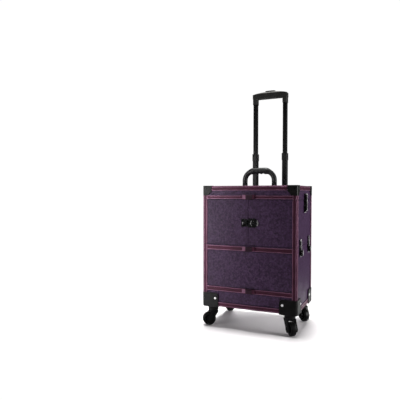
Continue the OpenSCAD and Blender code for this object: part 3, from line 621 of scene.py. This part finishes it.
    def join(self, pieces: Sequence[Piece], name: str) -> Piece:
        """Joins pieces into the first of them.

        Args:
            pieces: The pieces, two or more.
            name: Name of the joined piece.

        Returns:
            The joined piece.
        """
        self.clear()
        for piece in pieces:
            piece.select_set(True)
        bpy.context.view_layer.objects.active = pieces[0]
        bpy.ops.object.join()
        pieces[0].name = name
        return pieces[0]


BENCH = Bench()
LOOK = Finishes()


def attach(piece: Piece, finish: Finish, node: str) -> None:
    """Gives a piece its finish, and the body of a frame node.

    Args:
        piece: A piece without materials.
        finish: Its main finish, in its first material slot.
        node: The node that it moves with.
    """
    piece.data.materials.append(paint(finish))
    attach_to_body(piece, BODY_OF[node])


def dress(piece: Piece, finish: Finish, node: str) -> None:
    """Attaches a piece and puts it in the place of its frame node.

    Args:
        piece: A piece without materials.
        finish: Its main finish.
        node: The node that it stands for.
    """
    attach(piece, finish, node)
    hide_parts(node)
    LOG.info("%s stands for %s", piece.name, node)


def touch_up(piece: Piece, finish: Finish, wanted: Picker) -> None:
    """Gives some of a piece's faces a second finish.

    Args:
        piece: A dressed piece.
        finish: The second finish.
        wanted: Test on a face's centre in millimetres and its normal.
    """
    piece.data.materials.append(paint(finish))
    if BENCH.pick(piece, wanted):
        piece.active_material_index = len(piece.data.materials) - 1
        bpy.ops.object.material_slot_assign()
    BENCH.clear()


def rounded_copy(node: str, ending: str, width: float, finish: Finish, segments: int = 2) -> Piece:
    """Copies a frame node with rounded edges and dresses the copy.

    Args:
        node: The node.
        ending: Ending of the copy's name.
        width: Width of the rounding.
        finish: The copy's finish.
        segments: Faces across the rounding.

    Returns:
        The copy.
    """
    piece = BENCH.copy_of(node, f"{node}_{ending}")
    BENCH.soften(piece, width, segments)
    dress(piece, finish, node)
    return piece


@dataclass
class CaseBody:
    """The boards and edge profiles of base, wings, lid and drawers."""

    half_width: float = 185.0
    half_depth: float = 135.0
    bottom: float = 82.0
    top: float = 552.0
    # A profile's lip stands out from the boards by more than this.
    lip_out: float = 0.25
    board_rounding: float = 0.6
    profile_rounding: float = 0.45
    # A dark sheet in the lid's seam, painted shade that stands in for the dark inside the seam.
    seal_x: float = 184.4
    seal_front: float = -152.0
    seal_back: float = 115.5
    seal_z: Pair = (499.06, 499.94)
    seal_width: float = 8.0
    seal_rounding: float = 0.2
    boards: tuple[str, ...] = (
        "base_panels", "rear_panel", "left_wing_panels", "right_wing_panels", "lid_panels",
        "deep_drawer_front", "shallow_drawer_front",
    )
    profiles: tuple[str, ...] = (
        "base_profiles", "left_wing_profiles", "right_wing_profiles", "lid_profiles",
    )

    def on_lip(self, centre: Vector, normal: Vector) -> bool:
        """Tells whether a face lies on a profile's raised lip, however it is turned."""
        return (
            abs(centre.x) > self.half_width + self.lip_out
            or abs(centre.y - PLAN.middle_y) > self.half_depth + self.lip_out
            or centre.z > self.top + self.lip_out
            or centre.z < self.bottom - self.lip_out
        )

    def build(self) -> None:
        """Makes all boards and profiles."""
        for node in self.boards:
            rounded_copy(node, "covered", self.board_rounding, LOOK.skin)
        for node in self.profiles:
            bar = rounded_copy(node, "rounded", self.profile_rounding, LOOK.wine)
            # The lips take the lighter wine as a painted highlight.
            touch_up(bar, LOOK.lip, self.on_lip)
        self.seal()

    def seal(self) -> None:
        """Sets a dark sheet under the lid's rim, painted shade that shuts the seam to light."""
        low, high = self.seal_z
        outer, front, back, width = self.seal_x, self.seal_front, self.seal_back, self.seal_width
        inner = outer - width
        bars = [
            BENCH.block("seal_bar", (*near, low), (*far, high))
            for near, far in (
                ((-outer, front), (-inner, back)), ((inner, front), (outer, back)),
                ((-inner, front), (inner, front + width)), ((-inner, back - width), (inner, back)),
            )
        ]
        for bar in bars:
            BENCH.soften(bar, self.seal_rounding)
        attach(BENCH.join(bars, "lid_seal"), LOOK.wheel, "lid_corners")


@dataclass
class Corners:
    """Moulded corner shells of the base and the lid."""

    plate_rim: float = 3.2
    field: float = 0.7
    field_wall: float = 0.35
    # How far behind its plane a plate's face may lie.
    slack: float = 0.1
    base_rounding: float = 1.3
    lid_rounding: float = 0.9
    steps: int = 3

    def build(self) -> None:
        """Makes both sets of corners, each plate with a low rim round its field."""
        for node, side, front, rounding in (
            ("caster_corners", PLAN.base_side, PLAN.base_front, self.base_rounding),
            ("lid_corners", PLAN.lid_side, PLAN.lid_front, self.lid_rounding),
        ):
            shell = BENCH.copy_of(node, f"{node}_moulded")
            BENCH.pick(
                shell,
                lambda c, n: (abs(n.x) > SQUARE and abs(c.x) > side - self.slack)
                or (abs(n.y) > SQUARE and abs(c.y - PLAN.middle_y) > front - self.slack),
            )
            bpy.ops.mesh.inset(thickness=self.plate_rim * MM)
            bpy.ops.mesh.inset(thickness=self.field_wall * MM, depth=-self.field * MM)
            set_mode("OBJECT")
            BENCH.soften(shell, rounding, self.steps)
            dress(shell, LOOK.corner, node)


@dataclass
class Rivets:
    """Domed rivets on the corners, screws on the trolley's brackets and the handle's pins."""

    radius: float = 4.5
    height: float = 1.6
    shank: float = 1.4
    dome: float = 1.45
    dome_steps: int = 4
    dome_profile: float = 0.55
    dome_angle: float = 50.0
    sides: int = 24
    lid_scale: float = 0.7
    # Places on the corners' front and side plates, from the middle of the case.
    foot: Triple = (133.0, 83.0, 114.0)
    lid: Triple = (174.4, 124.4, 541.4)
    screw_x: float = 30.0
    screw_y: float = 130.75
    screw_z: Pair = (114.0, 420.5)
    pin_length: float = 17.8
    pin_radius: float = 2.5
    pin_rounding: float = 0.6

    def head(self) -> Piece:
        """Models one head about the origin, looking along +Z.

        Returns:
            The head.
        """
        head = BENCH.round_bar(
            "rivet_model", self.radius, self.height + self.shank,
            (0, 0, (self.height - self.shank) / 2), Axis.Z, self.sides,
        )
        BENCH.pick(head, lambda c, n: n.z > SQUARE)
        bpy.ops.mesh.bevel(
            offset=self.dome * MM, segments=self.dome_steps, affect="EDGES",
            offset_type="OFFSET", profile=self.dome_profile,
        )
        set_mode("OBJECT")
        bpy.ops.object.shade_smooth_by_angle(angle=math.radians(self.dome_angle))
        return head

    def at(self, place: Triple, outward: Triple, scale: float = 1.0) -> Matrix:
        """Gives the place, turn and scale of a head that looks outward."""
        turn = Vector(outward).to_track_quat("Z", "Y").to_matrix().to_4x4()
        return Matrix.Translation(Vector(place) * MM) @ turn @ Matrix.Scale(scale, 4)

    def build(self) -> None:
        """Sets every rivet, screw and handle pin."""
        head = self.head()
        low, high = [], []
        corners = (
            (low, self.foot, PLAN.base_side, PLAN.base_front, 1.0),
            (high, self.lid, PLAN.lid_side, PLAN.lid_front, self.lid_scale),
        )
        for s in (-1, 1):
            for t in (-1, 1):
                for places, (x, y, z), side, front, scale in corners:
                    end, flank = PLAN.middle_y + t * front, PLAN.middle_y + t * y
                    places.append(self.at((s * x, end, z), (0, t, 0), scale))
                    places.append(self.at((s * side, flank, z), (s, 0, 0), scale))
            for z in self.screw_z:
                low.append(self.at((s * self.screw_x, self.screw_y, z), (0, 1, 0)))
        rivets = [BENCH.placed(head, f"rivet_{k}", place) for k, place in enumerate(low)]
        dress(BENCH.join(rivets, "base_rivets_domed"), LOOK.chrome, "base_rivets")
        small = [BENCH.placed(head, f"lid_rivet_{k}", place) for k, place in enumerate(high)]
        for s in (-1, 1):
            pin = BENCH.round_bar(
                "handle_pin", self.pin_radius, self.pin_length, PLAN.pivot(s), Axis.X, self.sides
            )
            BENCH.soften(pin, self.pin_rounding)
            small.append(pin)
        dress(BENCH.join(small, "lid_rivets_domed"), LOOK.lacquer, "lid_rivets_and_pins")
        BENCH.drop(head)


@dataclass
class Casters:
    """Four swivel casters: a moulded fork with thick cheeks and a cast wheel."""

    wheel_radius: float = 26.0
    wheel_width: float = 20.0
    trail: float = 17.0
    stem: Pair = (154.0, 104.0)
    sides: int = 64
    tyre_rounding: float = 4.6
    tyre_steps: int = 5
    side_rim: float = 3.6
    wall: float = 0.6
    recess: float = 2.4
    disc: float = 8.0
    hub_rise: float = 2.0
    hub_reach: float = 19.5
    spokes: int = 8
    spoke_sides: int = 3
    spoke_span: Pair = (10.0, 16.4)
    spoke_rise: float = 1.5
    wheel_rounding: float = 0.25
    fork_rounding: float = 2.2
    # Each caster's name, its side along X and Y, and the turn of its fork in degrees.
    turns: tuple[tuple[str, int, int, float], ...] = (
        ("front_left", -1, -1, 215.0), ("front_right", 1, -1, -55.0),
        ("back_left", -1, 1, 145.0), ("back_right", 1, 1, -45.0),
    )

    def wheel(self) -> Piece:
        """Models a wheel about the origin, with its axle along Y.

        Returns:
            The wheel.
        """
        wheel = BENCH.round_bar(
            "wheel_model", self.wheel_radius, self.wheel_width, (0, 0, 0), Axis.Y, self.sides
        )
        step = 2 * math.pi / self.sides
        repeat = self.sides // self.spokes
        near, far = self.spoke_span
        for face in (-1, 1):
            BENCH.pick(wheel, lambda c, n: n.y * face > SQUARE)
            bpy.ops.mesh.bevel(
                offset=self.tyre_rounding * MM, segments=self.tyre_steps, affect="EDGES",
                offset_type="OFFSET",
            )
            BENCH.pick(wheel, lambda c, n: n.y * face > SQUARE)
            for width, rise in (
                (self.side_rim, 0), (self.wall, -self.recess),
                (self.disc, 0), (self.wall, self.hub_rise),
            ):
                bpy.ops.mesh.inset(thickness=width * MM, depth=rise * MM)
            set_mode("OBJECT")
            BENCH.pick(
                wheel,
                lambda c, n: n.y * face > SQUARE and near < math.hypot(c.x, c.z) < far
                and int((math.atan2(c.z, c.x) + math.pi) / step) % repeat < self.spoke_sides,
            )
            bpy.ops.mesh.extrude_region_shrink_fatten(
                TRANSFORM_OT_shrink_fatten={"value": self.spoke_rise * MM}
            )
            set_mode("OBJECT")
        BENCH.soften(wheel, self.wheel_rounding, 1)
        return wheel

    def build(self) -> None:
        """Sets the four forks and wheels."""
        model = self.wheel()
        for name, sx, sy, turn in self.turns:
            rounded_copy(f"{name}_fork", "moulded", self.fork_rounding, LOOK.hub, 3)
            stem = Vector((sx * self.stem[0], PLAN.middle_y + sy * self.stem[1], 0)) * MM
            place = (
                Matrix.Translation(stem) @ Matrix.Rotation(math.radians(turn), 4, "Z")
                @ Matrix.Translation(Vector((self.trail, 0, self.wheel_radius)) * MM)
            )
            wheel = BENCH.placed(model, f"{name}_wheel_cast", place)
            dress(wheel, LOOK.wheel, f"{name}_wheel")
            axle = place.translation / MM
            touch_up(wheel, LOOK.hub, lambda c, n: (c - axle).length < self.hub_reach)
        BENCH.drop(model)


@dataclass
class CarryHandle:
    """Arched carry handle with a thick hand hold, on two small feet."""

    bend: float = 38.0
    bend_steps: int = 15
    hold_z: float = 614.0
    hold_steps: int = 16
    leg_start: float = 5.0
    leg_radius: float = 10.25
    hold_radius: float = 13.0
    # The hold swells over this length, up to this place on either side of the middle.
    swell_length: float = 16.0
    swell_end: float = 44.0
    fingers: int = 3
    finger: float = 15.3
    hollow: float = 2.6
    # Shares of the radius below the hold's middle where the hollows begin and how they fade.
    hollow_from: float = 0.1
    hollow_fade: float = 0.5
    eye_width: float = 9.0
    eye_radius: float = 6.5
    eye_sides: int = 32
    eye_rounding: float = 0.9
    foot_rounding: float = 0.7
    bevel_steps: int = 7
    smooth_angle: float = 60.0

    def rib(self) -> list[tuple[Vector, float]]:
        """Lays out the arch.

        Returns:
            The points along its middle, each with its radius there, in metres.
        """
        half = PLAN.handle_span / 2
        straight = half - self.bend
        bend_z = self.hold_z - self.bend
        line: list[Pair] = [(half, PLAN.pivot_z + self.leg_start), (half, bend_z)]
        for k in range(1, self.bend_steps + 1):
            a = math.radians(90 / self.bend_steps * k)
            line.append((straight + self.bend * math.cos(a), bend_z + self.bend * math.sin(a)))
        for k in range(1, self.hold_steps + 1):
            line.append((straight * (1 - k / self.hold_steps), self.hold_z))
        line += [(-x, z) for x, z in reversed(line[:-1])]
        points = []
        for x, z in line:
            near = min(1.0, max(0.0, (self.swell_end - abs(x)) / self.swell_length))
            swell = near * near * (3 - 2 * near)
            radius = self.leg_radius + (self.hold_radius - self.leg_radius) * swell
            points.append((Vector((x + PLAN.handle_x, PLAN.middle_y, z)) * MM, radius * MM))
        return points

    def build(self) -> None:
        """Makes the arch with its finger hollows, its eyes and the feet."""
        BENCH.clear()
        curve = bpy.data.curves.new("carry_handle_path", "CURVE")
        curve.dimensions = "3D"
        curve.bevel_depth = 1.0
        curve.bevel_resolution = self.bevel_steps
        curve.use_fill_caps = True
        spline = curve.splines.new("POLY")
        rib = self.rib()
        spline.points.add(len(rib) - 1)
        for point, (place, radius) in zip(spline.points, rib):
            point.co = (*place, 1)
            point.radius = radius
        BENCH.take(new_object("carry_handle_arch", curve))
        bpy.ops.object.convert(target="MESH")
        arch = bpy.context.object
        self.hollows(arch)
        bpy.ops.object.shade_smooth_by_angle(angle=math.radians(self.smooth_angle))
        pieces = [arch]
        for s in (-1, 1):
            eye = BENCH.round_bar(
                "handle_eye", self.eye_radius, self.eye_width, PLAN.pivot(s), Axis.X, self.eye_sides
            )
            BENCH.soften(eye, self.eye_rounding)
            pieces.append(eye)
        dress(BENCH.join(pieces, "carry_handle_arched"), LOOK.grip, "carry_handle")
        rounded_copy("handle_feet", "rounded", self.foot_rounding, LOOK.corner)

    def hollows(self, arch: Piece) -> None:
        """Presses the finger hollows into the underside of the hand hold.

        Args:
            arch: The arch as a mesh.
        """
        for vertex in arch.data.vertices:
            x, z = vertex.co.x / MM - PLAN.handle_x, vertex.co.z / MM
            below = (self.hold_z - z) / self.hold_radius - self.hollow_from
            if abs(x) < self.fingers / 2 * self.finger and below > 0:
                wave = (1 + math.cos(2 * math.pi * x / self.finger)) / 2
                vertex.co.z += self.hollow * MM * wave * min(1.0, below / self.hollow_fade)


@dataclass
class Latches:
    """Turn latches, lid levers and clasps, black plated, with painted glints on their rims and a
    painted highlight on the clasps.
    """

    front_y: float = -151.2
    side_x: float = 183.6
    # Least and greatest breadth of a face, and the rim that it has room for.
    rims: tuple[Triple, ...] = (
        (2.3, 3.6, 1.0), (3.6, 5.4, 1.6), (5.4, math.inf, 2.4)
    )
    groove: float = 0.5
    groove_wall: float = 0.15
    rounding: float = 0.5
    tab_rounding: float = 0.6
    # Where the clasps' painted highlight block lies along X.
    bright_block: Pair = (-21.3, -7.9)
    # Rims carry a painted glint in these bands along X at the front, and at the sides from this
    # place on behind the middle of each fitting.
    glint_bands: tuple[Pair, ...] = ((-23.5, -18.0), (12.9, 16.5), (35.5, 43.0))
    side_middles: tuple[float, ...] = (-92.65, -17.65, 57.35)
    glint_from: float = -6.0

    def front_face(self, centre: Vector, normal: Vector) -> bool:
        """Tells whether a face is the flat front of a fitting at the case's front or side."""
        at_side = abs(centre.x) > self.side_x and normal.x * math.copysign(1, centre.x) > SQUARE
        return normal.y < -SQUARE if centre.y < self.front_y else at_side

    def bright(self, centre: Vector) -> bool:
        """Tells whether a part of a rim gets a painted glint.

        Args:
            centre: The centre of the rim's face.

        Returns:
            Whether it lies where the light is caught.
        """
        if centre.y < self.front_y and abs(centre.x) < self.side_x:
            return any(low < centre.x < high for low, high in self.glint_bands)
        return min((centre.y - y for y in self.side_middles), key=abs) > self.glint_from

    def polish(self, fitting: Piece) -> None:
        """Sinks the flat fronts of a fitting behind rims that carry painted glints in places.

        Args:
            fitting: A dressed fitting.
        """
        fitting.data.materials.append(paint(LOOK.rim))
        for least, most, rim in self.rims:
            if BENCH.pick(fitting, self.front_face, (least, most)):
                fitting.active_material_index = 1
                bpy.ops.object.material_slot_assign()
                for width, rise in ((rim, 0), (self.groove_wall, -self.groove)):
                    bpy.ops.mesh.inset(thickness=width * MM, depth=rise * MM, use_even_offset=False)
                fitting.active_material_index = 0
                bpy.ops.object.material_slot_assign()
            BENCH.clear()
        for face in fitting.data.polygons:
            if face.material_index and not self.bright(face.center / MM):
                face.material_index = 0

    def build(self) -> None:
        """Makes all latches, levers and clasps."""
        for node in (
            "side_latch_plates", "left_wing_fittings", "right_wing_fittings",
            "front_left_latch_turn", "back_left_latch_turn", "front_right_latch_turn",
            "back_right_latch_turn", "front_latch_turn", "left_lid_latch", "right_lid_latch",
        ):
            fitting = BENCH.copy_of(node, f"{node}_plated")
            dress(fitting, LOOK.lacquer, node)
            self.polish(fitting)
            BENCH.soften(fitting, self.rounding)
        self.clasps()

    def clasps(self) -> None:
        """Makes the clasps: a painted highlight block, a dark tab and a dark ear."""
        low, high = self.bright_block
        for node in ("rail_clasp_brackets", "lid_fittings"):
            bracket = rounded_copy(node, "plated", self.rounding, LOOK.wine)
            # The clasps' block takes the lighter wine as a painted highlight.
            touch_up(bracket, LOOK.lip, lambda c, n: c.y < self.front_y and low < c.x < high)
            touch_up(bracket, LOOK.lacquer, lambda c, n: c.y > self.front_y)
        for node in ("lid_clasp", "upper_rail_clasp", "lower_rail_clasp"):
            rounded_copy(node, "tab", self.tab_rounding, LOOK.plum)


@dataclass
class Hinges:
    """Lid hinges and wing hinges at the back, black with bright ribs and painted highlights on the
    lid hinges' edges.
    """

    leaf_face: float = 118.25
    axis_x: float = 130.5
    wing_z: float = 413.0
    leaf_rounding: float = 0.45
    # Where the lid hinges carry a painted highlight on their edges, behind their leaves' faces.
    bright_band: Pair = (0.1, 1.3)
    rib_heights: Triple = (17.0, 22.0, 26.0)
    rib_places: Triple = (11.0, 18.0, 26.0)
    rib_width: float = 3.4
    rib_rise: float = 1.2
    rib_root: float = 0.4
    rib_rounding: float = 0.6

    def ribs(self, side: float, away: float) -> list[Piece]:
        """Models upright ribs on one wing hinge leaf.

        Args:
            side: -1 for the left hinge, 1 for the right hinge.
            away: Direction of the leaf from the hinge's axis along X.

        Returns:
            The ribs.
        """
        bars = []
        for height, place in zip(self.rib_heights, self.rib_places):
            x = side * self.axis_x + away * place
            bar = BENCH.block(
                "hinge_rib",
                (x - self.rib_width / 2, self.leaf_face - self.rib_root, self.wing_z - height / 2),
                (x + self.rib_width / 2, self.leaf_face + self.rib_rise, self.wing_z + height / 2),
            )
            BENCH.soften(bar, self.rib_rounding)
            bars.append(bar)
        return bars

    def build(self) -> None:
        """Makes all hinge leaves and their ribs."""
        low, high = (self.leaf_face + step for step in self.bright_band)
        for node in (
            "wing_hinge_plates", "lid_hinge_plates", "lid_hinge_leaves",
            "left_wing_hinge_leaf", "right_wing_hinge_leaf",
        ):
            leaf = rounded_copy(node, "plated", self.leaf_rounding, LOOK.lacquer)
            if node.startswith("lid"):
                # Painted highlight: bright nickel on the lid hinges' edge walls.
                touch_up(leaf, LOOK.nickel, lambda c, n: low < c.y < high)
        for node, bars in (
            ("left_wing_hinge_leaf", self.ribs(-1, -1)),
            ("right_wing_hinge_leaf", self.ribs(1, 1)),
            ("wing_hinge_plates", self.ribs(-1, 1) + self.ribs(1, -1)),
        ):
            attach(BENCH.join(bars, f"{node}_ribs"), LOOK.nickel, node)


@dataclass
class Trolley:
    """Telescopic tubes, brackets, collars and the grip with its button."""

    # The grip takes a painted highlight of lighter grey where its skin turns up at least this much.
    top_slope: float = 0.3

    def build(self) -> None:
        """Makes the trolley's pieces from their frame shapes with rounded edges."""
        for node, width, segments, finish in (
            ("trolley_top_bracket", 1.6, 3, LOOK.corner),
            ("trolley_foot_bracket", 1.6, 3, LOOK.corner),
            ("trolley_outer_tubes", 0.3, 2, LOOK.low_tube),
            ("trolley_middle_tubes", 0.3, 2, LOOK.mid_tube),
            ("trolley_upper_tubes", 0.3, 2, LOOK.top_tube),
            ("trolley_collars", 0.8, 2, LOOK.corner),
            ("trolley_grip", 6.0, 5, LOOK.pull),
            ("trolley_button", 1.2, 3, LOOK.hub),
        ):
            piece = rounded_copy(node, "rounded", width, finish, segments)
            if node == "trolley_grip":
                touch_up(piece, LOOK.pull_top, lambda c, n: n.z > self.top_slope)


class Inside:
    """Frame nodes that stay as they are and only take a finish."""

    def build(self) -> None:
        """Paints the nodes inside the case."""
        for node, finish in (
            ("drawer_runners", LOOK.corner), ("deep_drawer_box", LOOK.lining),
            ("shallow_drawer_box", LOOK.lining), ("left_wing_trays", LOOK.lining),
            ("right_wing_trays", LOOK.lining), ("hinge_pins", LOOK.nickel),
            ("trolley_lock_rods", LOOK.nickel),
        ):
            mesh = FRAME["nodes"][node].data
            mesh.materials.clear()
            mesh.materials.append(paint(finish))


@dataclass(frozen=True)
class Lamp:
    """A soft rectangular light, with its power in watts and its beam's spread in degrees."""

    name: str
    place: Triple
    aim: Triple
    size: Pair
    power: float
    spread: float = 180.0
    mirrored: bool = True


@dataclass
class Studio:
    """White floor and backdrop, soft lights and the photograph's camera."""

    camera_place: Triple = (528.0, -1714.6, 520.6)
    camera_turn: float = 25.03
    camera_tilt: float = 1.75
    lens: float = 39.19
    sensor: float = 36.0
    shift: Pair = (0.001, 0.01875)
    sky_colour: str = "#ffffff"
    sky_light: float = 0.07
    sun_light: float = 3.4
    sun_angle: float = 14.0
    sun_turn: Pair = (-3.0, -4.0)
    backdrop_glow: float = 1.02
    floor_colour: str = "#f9f6f7"
    floor_roughness: float = 0.9
    floor_gloss: float = 0.1
    # The floor fades into the backdrop's white between these distances from the case.
    floor_fade: Pair = (500.0, 1100.0)
    floor_size: float = 60000.0
    room: float = 25000.0
    room_rings: int = 24
    lamps: tuple[Lamp, ...] = (
        Lamp("strip_left", (-640, -760, 400), (-230, -150, 330), (300, 900), 0.82, 42),
        Lamp("side_right", (1900, 250, 550), (185, -20, 330), (1000, 1000), 28.0),
        Lamp("rear_low", (-60, 330, 90), (-20, 130, 0), (900, 100), 0.55, 50, mirrored=False),
        Lamp("floor_card", (300, 420, 4), (300, 420, 900), (320, 600), 0.6),
    )

    def build(self) -> None:
        """Sets up the whole studio."""
        self.sky()
        self.floor()
        self.backdrop()
        for lamp in self.lamps:
            self.hang(lamp)
        self.sun()
        self.camera()

    def sky(self) -> None:
        """Sets the faint white light that comes from all round, and plain colour display."""
        world = bpy.data.worlds.new("white_room")
        bpy.context.scene.world = world
        world.use_nodes = True
        world.node_tree.nodes.clear()
        glow = add_node(
            world.node_tree, "Background",
            {"Color": linear(self.sky_colour), "Strength": self.sky_light},
        )
        add_node(world.node_tree, "OutputWorld", {"Surface": glow.outputs["Background"]})
        bpy.context.scene.view_settings.view_transform = "Standard"

    def floor(self) -> None:
        """Lays white paper that takes shadows near the case and glows like the backdrop far off."""
        BENCH.clear()
        bpy.ops.mesh.primitive_plane_add(size=self.floor_size * MM)
        floor = BENCH.named("floor")
        paper, add, place = new_material("white_paper")
        shader = add(
            "BsdfPrincipled",
            {"Base Color": linear(self.floor_colour), "Roughness": self.floor_roughness,
             "Specular IOR Level": self.floor_gloss},
        )
        away = add("VectorMath", {0: place}, operation="LENGTH")
        fade = add(
            "MapRange",
            {"Value": away.outputs["Value"], "From Min": self.floor_fade[0] * MM,
             "From Max": self.floor_fade[1] * MM},
            interpolation_type="SMOOTHSTEP",
        )
        glow = add("Emission", {"Strength": self.backdrop_glow})
        sweep = add(
            "MixShader",
            {0: fade.outputs["Result"], 1: shader.outputs["BSDF"], 2: glow.outputs["Emission"]},
        )
        add("OutputMaterial", {"Surface": sweep.outputs["Shader"]})
        floor.data.materials.append(paper)
        floor.visible_glossy = False

    def backdrop(self) -> None:
        """Hangs glowing white paper all round, which is seen from every side but lights nothing."""
        BENCH.clear()
        bpy.ops.mesh.primitive_uv_sphere_add(
            segments=2 * self.room_rings, ring_count=self.room_rings, radius=self.room * MM
        )
        paper = BENCH.named("backdrop")
        glow, add, _ = new_material("lit_paper")
        shader = add("Emission", {"Strength": self.backdrop_glow})
        add("OutputMaterial", {"Surface": shader.outputs["Emission"]})
        paper.data.materials.append(glow)
        paper.visible_glossy = False
        paper.visible_diffuse = False
        paper.visible_shadow = False

    def hang(self, lamp: Lamp) -> None:
        """Adds a soft light.

        Args:
            lamp: The light's place, size and power.
        """
        data = bpy.data.lights.new(lamp.name, "AREA")
        data.shape = "RECTANGLE"
        data.size, data.size_y = (side * MM for side in lamp.size)
        data.spread = math.radians(lamp.spread)
        data.energy = lamp.power
        light = new_object(lamp.name, data)
        way = (Vector(lamp.aim) - Vector(lamp.place)) * MM
        turn = way.to_track_quat("-Z", "Y").to_matrix().to_4x4()
        light.matrix_world = Matrix.Translation(Vector(lamp.place) * MM) @ turn
        light.visible_glossy = lamp.mirrored

    def sun(self) -> None:
        """Adds the broad light from above, which gives the case its soft shadow."""
        data = bpy.data.lights.new("broad_top", "SUN")
        data.energy = self.sun_light
        data.angle = math.radians(self.sun_angle)
        light = new_object("broad_top", data)
        light.rotation_euler = (*(math.radians(turn) for turn in self.sun_turn), 0)

    def camera(self) -> None:
        """Sets the camera where the photograph's front view was taken."""
        data = bpy.data.cameras.new("front_view")
        data.lens = self.lens
        data.sensor_width = self.sensor
        data.shift_x, data.shift_y = self.shift
        camera = new_object("front_view", data)
        camera.location = Vector(self.camera_place) * MM
        camera.rotation_euler = (
            math.radians(90 - self.camera_tilt), 0, math.radians(self.camera_turn)
        )
        bpy.context.scene.camera = camera


def main() -> None:
    """Builds the studio and every sub-assembly in order."""
    logging.basicConfig(level=logging.INFO, format="%(name)s: %(message)s")
    for part in (
        Studio(), CaseBody(), Corners(), Rivets(), Casters(), CarryHandle(), Latches(), Hinges(),
        Trolley(), Inside(),
    ):
        part.build()
        LOG.info("%s built", type(part).__name__)
    BENCH.clear()


if __name__ == "__main__":
    main()
